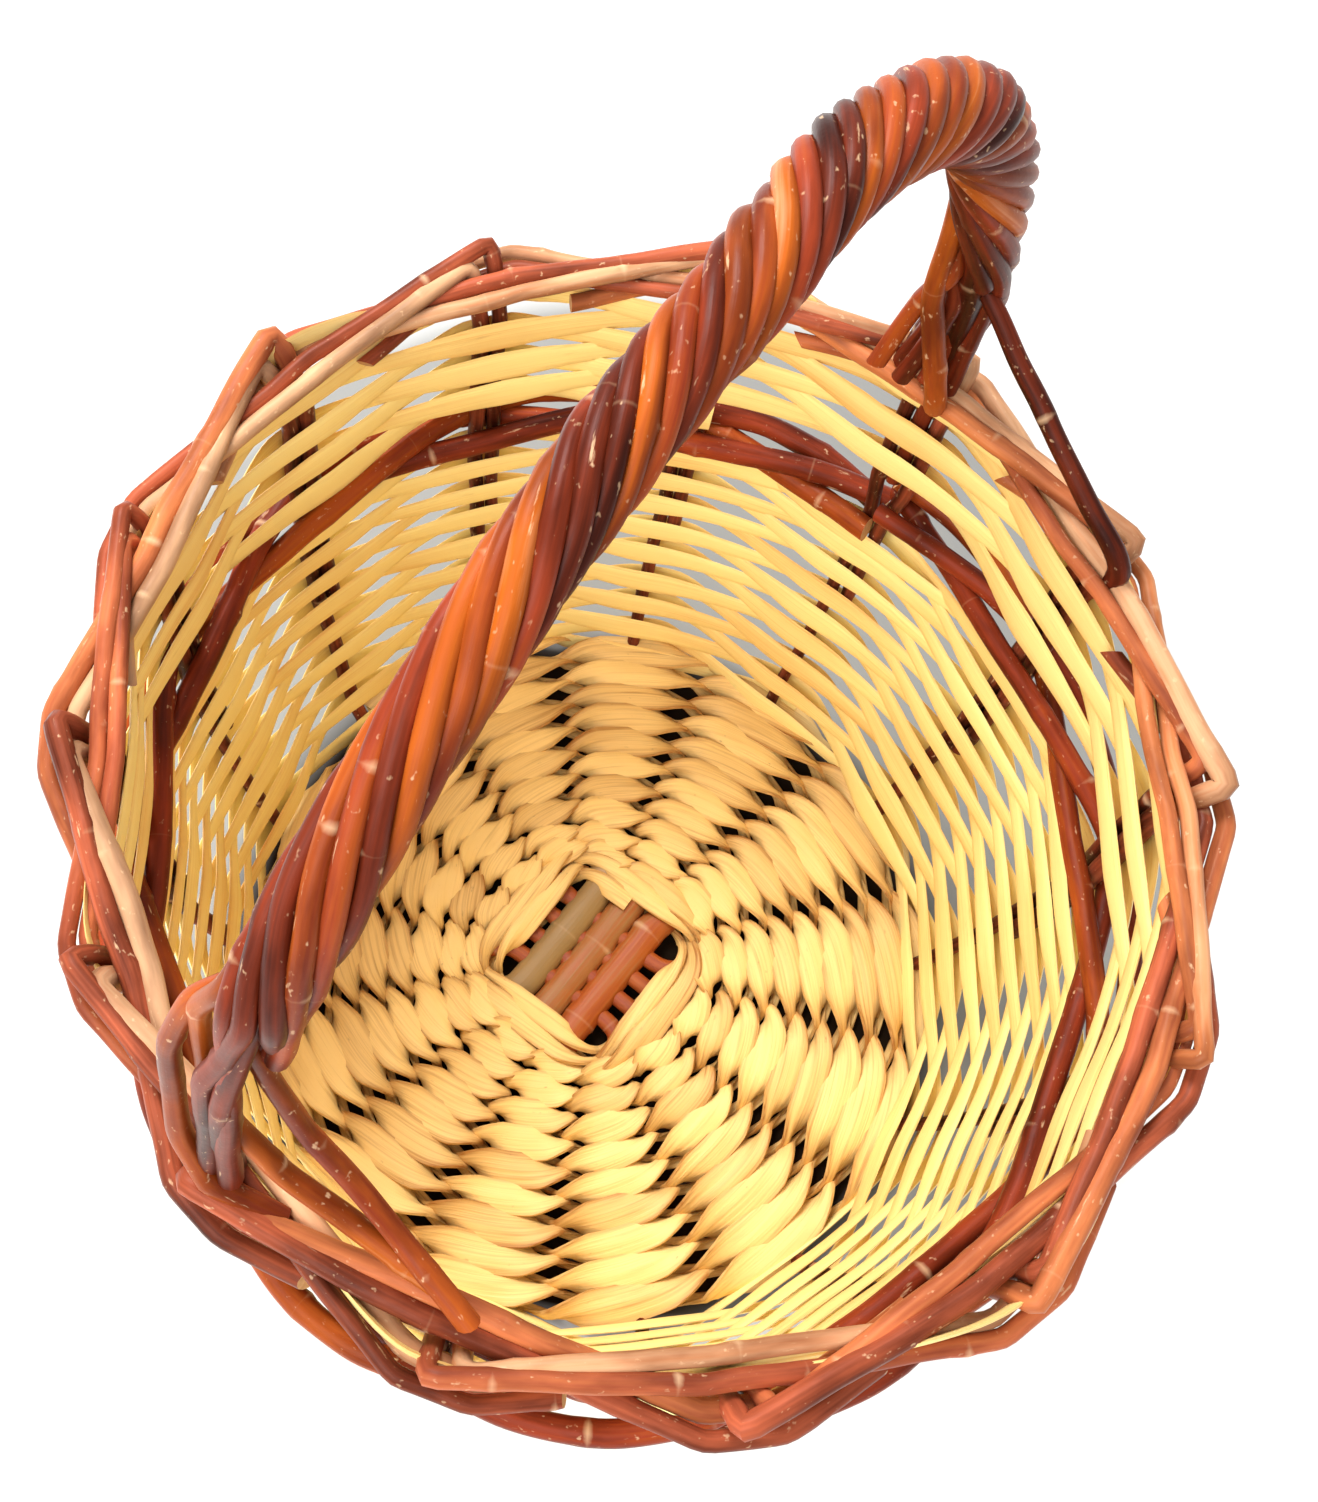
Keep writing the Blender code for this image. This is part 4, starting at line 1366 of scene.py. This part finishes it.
def make_bow():
    """The thick rod inside the handle, whose thin ends go down beside the stakes."""
    chance = chance_of("bow")
    arch = arch_line()
    lengths = run_lengths(arch)
    middle = at_lengths(arch, lengths, np.linspace(0, lengths[-1], BOW_POINTS))
    start, end = (
        [on_wall(stake, 0, 0, height) for height in (BOW_FOOT, RIM_HEIGHT)]
        for stake in HANDLE_STAKES
    )
    radius = sizes().bow_radius
    tip = BOW_TIP_RADIUS / radius
    piece = make_rod(
        "handle_bow_core",
        [*start, *middle, *end[::-1]],
        radius,
        chance,
        BOW_TONE,
        taper=list(zip(BOW_SHARES, (tip, tip, 1, 1, BOW_THINNING, tip, tip))),
        **BOW_FORM,
    )
    finish_piece(piece, ["handle_bow"], ["bark", "cut_end"])


# Where the wrapping rods go at each foot, as (along, offset, rise above the border)
LEG_ROUTES = (
    ((0.012, -0.007, 0.033), (0.0175, -0.0095, 0.000)),
    ((0.004, -0.004, 0.033), (0.009, -0.009, -0.001)),
    ((0.002, 0.002, 0.030), (0.003, -0.003, -0.004)),
    ((-0.002, 0.003, 0.028), (-0.003, -0.002, -0.006)),
    ((0.006, 0.004, 0.030), (0.012, 0.000, -0.006)),
    ((0.002, 0.008, 0.028), (0.006, 0.005, -0.008)),
    ((-0.003, 0.007, 0.028), (0.000, 0.006, -0.008)),
    ((0.008, 0.008, 0.030), (0.012, 0.005, -0.008)),
)
LONG_ROUTE = (
    (-0.006, -0.0145, 0.084),
    (0.0025, -0.014, 0.052),
    (0.0135, -0.0125, 0.028),
    (0.026, -0.011, 0.013),
    (0.040, -0.0075, 0.004),
    (0.061, 0.0025, -0.001),
)
THIN_ROUTE = (
    (-0.0095, -0.012, 0.080),
    (-0.007, -0.0065, 0.050),
    (0.0005, -0.004, 0.026),
    (0.012, -0.0045, 0.010),
    (0.029, -0.0055, 0.002),
    (0.052, -0.002, -0.001),
)
BENT_ROUTE = (
    (-0.0115, -0.0125, 0.080),
    (-0.014, -0.004, 0.058),
    (-0.0125, 0.0, 0.034),
    (-0.009, 0.004, 0.016),
    (0.0, 0.0065, 0.0),
    (0.016, 0.002, -0.008),
)
LAID_ROUTES = (
    LONG_ROUTE,
    THIN_ROUTE,
    BENT_ROUTE,
    ((0.000, -0.016, 0.058),),
    ((0.003, -0.0165, 0.061),),
    ((0.0055, -0.016, 0.064),),
    ((0.004, -0.018, 0.068),),
    ((0.002, -0.006, 0.060), (0.003, 0.003, 0.002)),
    ((-0.003, -0.005, 0.060), (-0.002, 0.004, 0.002)),
)

# The rod that leaves the wrapping early, inside the leg by the brace
EARLY_ROD = 7
EARLY_STEP_COUNT = 5
# Its start, as (along, offset, height)
EARLY_ROUTE = (
    (-0.003, -0.0065, 0.2060),
    (-0.003, -0.0118, 0.2160),
    (0.0092, -0.0090, 0.2450),
)
EARLY_TAPER = (
    (0, 1.4),
    (0.09, 1.35),
    (0.2, 1.1),
    (0.45, 1),
    (0.6, 0.92),
    (0.8, 0.9),
    (1, 1.1),
)
WRAP_TAPER = ((0, 1.1), (0.3, 1.1), (0.45, 1), (0.6, 0.92), (0.8, 0.9), (1, 1.15))
WRAP_TONES = (0.14, 0.28, 0.6, 0.46, 0.5, 0.22, 0.4, 0.54, 0.08)
WRAP_FORM = {"wave": 0.0004, "bend": 0.003}
WRAP_SIZE_CHANCE = (0.92, 1.08)
# The distance of the wrapping rods from the bow's middle line, along the handle
RING_SHARES = (0, 0.27, 0.40, 0.54, 0.77, 1)
RING_RADII = (0.0064, 0.0084, 0.0076, 0.0067, 0.0060, 0.0064)
# Points of a wrapping rod on each turn
TURN_SAMPLES = 16
# The rods without painted shade down the leg by the brace
BRIGHT_RODS = (5, 6, EARLY_ROD)
# The rods that are laid along the border at the far foot, which have no painted shade at their ends
LAID_RODS = (2, 3, 4)


def wrap_routes():
    """The routes of the wrapping rods, wound side by side round the bow."""
    arch = arch_line()
    lengths = run_lengths(arch)
    total = lengths[-1]
    normal = np.cross(arch[0] - arch[-1], arch[len(arch) // 2] - arch[0])
    normal /= np.linalg.norm(normal)
    share = np.linspace(0, 1, round(WRAP_TURNS * TURN_SAMPLES))
    places = WRAP_START + (total - WRAP_START - WRAP_END) * share
    line = at_lengths(arch, lengths, places)
    near = 0.001
    tangents = at_lengths(arch, lengths, places + near) - at_lengths(arch, lengths, places - near)
    tangents /= np.linalg.norm(tangents, axis=1)[:, None]
    inward = np.cross(tangents, normal)
    ring = np.interp(share, RING_SHARES, RING_RADII)[:, None]
    wound = WRAP_TURNS * (share - WRAP_EASE_SHARE * np.sin(math.tau * share) / math.tau)
    routes = []
    for index in range(WRAP_COUNT):
        angles = (index / WRAP_COUNT - wound) * math.tau
        out = np.cos(angles)[:, None] * normal + np.sin(angles)[:, None] * inward
        routes.append([tuple(point) for point in line + ring * out])
    early = [on_wall(HANDLE_STAKES[0], *place) for place in EARLY_ROUTE]
    routes[EARLY_ROD] = [*early, *routes[EARLY_ROD][EARLY_STEP_COUNT:]]
    left = [index for index in range(WRAP_COUNT) if index != EARLY_ROD]
    for tail in foot_tails(HANDLE_STAKES[0], LEG_ROUTES):
        index = nearest_end(left, [points[0] for points in routes], tail[0])
        routes[index] = [*tail[::-1], *routes[index]]
    left = list(range(WRAP_COUNT))
    for tail in foot_tails(HANDLE_STAKES[1], LAID_ROUTES):
        index = nearest_end(left, [points[-1] for points in routes], tail[0])
        routes[index] = [*routes[index], *tail]
    return routes


def foot_tails(stake, places):
    """The points of each route beside the handle's foot at a stake."""
    return [
        [on_wall(stake, along, offset, BORDER_TOP + rise) for along, offset, rise in route]
        for route in places
    ]


def nearest_end(left, ends, point):
    """Takes the rod that ends nearest to a point off the list of those left."""
    index = min(left, key=lambda rod: math.dist(ends[rod], point))
    left.remove(index)
    return index


def make_wraps():
    chance = chance_of("wraps")
    for index, points in enumerate(wrap_routes()):
        piece = make_rod(
            f"handle_rod_{index + 1}",
            points,
            sizes().wrap_radius * chance.uniform(*WRAP_SIZE_CHANCE),
            chance,
            WRAP_TONES[index],
            taper=EARLY_TAPER if index == EARLY_ROD else WRAP_TAPER,
            painted_shade_start=index not in BRIGHT_RODS,
            painted_shade_end=index not in LAID_RODS,
            **WRAP_FORM,
        )
        finish_piece(piece, [f"handle_wrap_{index + 1}"], ["bark", "cut_end"])


BRACE_RISE = 0.037
BRACE_CLEARANCE = 0.004
BRACE_RADIUS = 0.0028
BRACE_STAKE = -1
BRACE_DEPTH = 0.013
BRACE_TONE = 0.05
BRACE_FORM = {"taper": ((0, 0.9), (1, 1.05)), "wave": 0.0006, "bend": 0.004}


def make_brace():
    """The dark rod from the handle's leg down into the border."""
    chance = chance_of("brace")
    arch = arch_line()
    rise = int(np.argmax(arch[:, 2] > BORDER_TOP + BRACE_RISE))
    azimuth = stake_azimuth(HANDLE_STAKES[0])
    along = np.array([-math.sin(azimuth), math.cos(azimuth), 0])
    top = arch[rise] - along * BRACE_CLEARANCE
    beside = -2 * sizes().stake_radius - BRACE_RADIUS
    mouth = on_wall(BRACE_STAKE, beside, 0, BORDER_TOP)
    foot = on_wall(BRACE_STAKE, beside, 0, BORDER_TOP - BRACE_DEPTH)
    piece = make_rod(
        "willow_brace", [top, mouth, foot], BRACE_RADIUS, chance, BRACE_TONE, **BRACE_FORM
    )
    finish_piece(piece, ["handle_brace"], ["bark", "cut_end"])


# The ground that only the gaps of the basket show to the camera is grey, both grey ground and a
# painted soft shadow of the basket; under the base it is darker still, a painted shadow
GROUND_MIDDLE = (0.080, 0.031, 0.0)
GROUND_RADII = (0.200, 0.228)
PAINTED_SHADOW_RADII = (0.118, 0.134)
FLOOR_GLOW = 0.6
FLOOR_SIZE = 8
FLOOR_DEPTH = 0.0004
FLOOR_ROUGHNESS = 0.9
# The places and sizes of the two lamps, which both face the aim
KEY_LAMP = ((0.38, 0.78, 1.3), 0.6)
FILL_LAMP = ((-0.95, 0.10, 1.1), 1.0)
LAMP_AIM = (0.0, 0.0, 0.12)
SENSOR_WIDTH = 36
CLIP_START = 0.01


def floor_material():
    """A pale floor that stays white to the camera, with grey ground and a painted soft shadow round
    the basket, and a dark painted shadow under its base.
    """
    shader = Shader("pale_floor")
    settings = stage_settings()
    place = shader.add("ShaderNodeTexCoord").outputs["Object"]
    far = shader.between(shader.distance(place, GROUND_MIDDLE), *GROUND_RADII)
    # Under the base the floor goes to the painted shadow colour
    under = shader.between(shader.distance(place, (0.0, 0.0, 0.0)), *PAINTED_SHADOW_RADII)
    colour = shader.mix(under, settings.painted_shadow, settings.ground)
    colour = shader.mix(far, colour, settings.floor)
    shader.feed(
        shader.surface,
        {"Base Color": colour, "Roughness": FLOOR_ROUGHNESS, "Specular IOR Level": 0.0},
    )
    seen = Value(shader, shader.add("ShaderNodeLightPath").outputs["Is Camera Ray"])
    glow = shader.add("ShaderNodeEmission", {}, {"Color": (1, 1, 1, 1), "Strength": 1.0})
    mixed = shader.add(
        "ShaderNodeMixShader",
        {},
        {0: seen * far * FLOOR_GLOW, 1: shader.surface.outputs[0], 2: glow.outputs[0]},
    )
    shader.feed(shader.tree.nodes["Material Output"], {"Surface": mixed.outputs[0]})
    return shader.material


def make_stage():
    """A wide floor, a pale world and two soft lamps."""
    bpy.ops.object.select_all(action="DESELECT")
    bpy.ops.mesh.primitive_plane_add(size=FLOOR_SIZE, location=(0, 0, -FLOOR_DEPTH))
    floor = bpy.context.object
    floor.name = "floor"
    floor.data.materials.append(floor_material())
    settings = stage_settings()
    world = bpy.data.worlds.new("pale_sky")
    bpy.context.scene.world = world
    world.use_nodes = True
    background = world.node_tree.nodes["Background"]
    background.inputs["Color"].default_value = (1, 1, 1, 1)
    background.inputs["Strength"].default_value = settings.sky
    lamps = (
        ("key_lamp", *KEY_LAMP, settings.key_power),
        ("fill_lamp", *FILL_LAMP, settings.fill_power),
    )
    for name, place, size, power in lamps:
        aim = Vector(LAMP_AIM) - Vector(place)
        turn = aim.to_track_quat("-Z", "Y").to_euler()
        bpy.ops.object.light_add(type="AREA", radius=size, location=place, rotation=turn)
        lamp = bpy.context.object
        lamp.name = name
        lamp.data.energy = power
        lamp.data.size = size
    bpy.context.scene.view_settings.view_transform = "Standard"


def make_camera():
    """The camera of the photograph, from its fitted place and axes."""
    turn = Matrix(CAMERA_AXES).to_euler()
    bpy.ops.object.camera_add(location=CAMERA_PLACE, rotation=turn)
    camera = bpy.context.object
    camera.name = "photo_camera"
    long_side = max(PHOTO_WIDTH, PHOTO_HEIGHT)
    camera.data.sensor_width = SENSOR_WIDTH
    camera.data.lens = FOCAL_PIXELS / long_side * SENSOR_WIDTH
    camera.data.shift_x = (PHOTO_WIDTH / 2 - MIDDLE_PIXEL[0]) / long_side
    camera.data.shift_y = (MIDDLE_PIXEL[1] - PHOTO_HEIGHT / 2) / long_side
    camera.data.clip_start = CLIP_START
    bpy.context.scene.camera = camera


class BASKET_OT_camera(Operator):
    """Add the photograph's camera"""

    bl_idname = "basket.camera"
    bl_label = "Camera"

    def execute(self, context):
        make_camera()
        return {"FINISHED"}


class BASKET_OT_base_sticks(Operator):
    """Add the crossed sticks of the base"""

    bl_idname = "basket.base_sticks"
    bl_label = "Base sticks"

    def execute(self, context):
        make_base_sticks()
        return {"FINISHED"}


class BASKET_OT_base_weave(Operator):
    """Add the two rushes twined round the sticks"""

    bl_idname = "basket.base_weave"
    bl_label = "Base weave"

    def execute(self, context):
        make_base_weave()
        return {"FINISHED"}


class BASKET_OT_stakes(Operator):
    """Add the stakes and by-stakes, laid down as the border"""

    bl_idname = "basket.stakes"
    bl_label = "Stakes and border"

    def execute(self, context):
        make_stakes()
        return {"FINISHED"}


class BASKET_OT_canes(Operator):
    """Add the split cane of the wall"""

    bl_idname = "basket.canes"
    bl_label = "Split cane"

    def execute(self, context):
        make_canes()
        return {"FINISHED"}


class BASKET_OT_wales(Operator):
    """Add the band of waling rods"""

    bl_idname = "basket.wales"
    bl_label = "Waling"

    def execute(self, context):
        make_wales()
        return {"FINISHED"}


class BASKET_OT_handle(Operator):
    """Add the handle's bow, its wrapping rods and its brace"""

    bl_idname = "basket.handle"
    bl_label = "Handle"

    def execute(self, context):
        make_bow()
        make_wraps()
        make_brace()
        return {"FINISHED"}


class BASKET_OT_stage(Operator):
    """Add the floor, the world's light and the lamps"""

    bl_idname = "basket.stage"
    bl_label = "Stage"

    def execute(self, context):
        make_stage()
        return {"FINISHED"}


class BASKET_PT_sidebar(Panel):
    """The basket's pieces, sizes and colours"""

    bl_idname = "BASKET_PT_sidebar"
    bl_label = "Willow Basket"
    bl_space_type = "VIEW_3D"
    bl_region_type = "UI"
    bl_category = "Basket"

    def draw(self, context):
        for operator in OPERATORS:
            self.layout.operator(operator.bl_idname)
        for settings in (sizes(), colours(), stage_settings()):
            box = self.layout.box()
            for name in settings.bl_rna.properties.keys():
                if name not in ("rna_type", "name"):
                    box.prop(settings, name)


OPERATORS = (
    BASKET_OT_camera,
    BASKET_OT_base_sticks,
    BASKET_OT_base_weave,
    BASKET_OT_stakes,
    BASKET_OT_canes,
    BASKET_OT_wales,
    BASKET_OT_handle,
    BASKET_OT_stage,
)
CLASSES = (BasketSizes, BasketColours, BasketStage, *OPERATORS, BASKET_PT_sidebar)


def register():
    for kind in CLASSES:
        bpy.utils.register_class(kind)
    bpy.types.Scene.basket_sizes = PointerProperty(type=BasketSizes)
    bpy.types.Scene.basket_colours = PointerProperty(type=BasketColours)
    bpy.types.Scene.basket_stage = PointerProperty(type=BasketStage)


def unregister():
    del bpy.types.Scene.basket_stage
    del bpy.types.Scene.basket_colours
    del bpy.types.Scene.basket_sizes
    for kind in reversed(CLASSES):
        bpy.utils.unregister_class(kind)


def main():
    register()
    bpy.ops.basket.camera()
    bpy.ops.basket.base_sticks()
    bpy.ops.basket.base_weave()
    bpy.ops.basket.stakes()
    bpy.ops.basket.canes()
    bpy.ops.basket.wales()
    bpy.ops.basket.handle()
    bpy.ops.basket.stage()


if __name__ == "__main__":
    main()
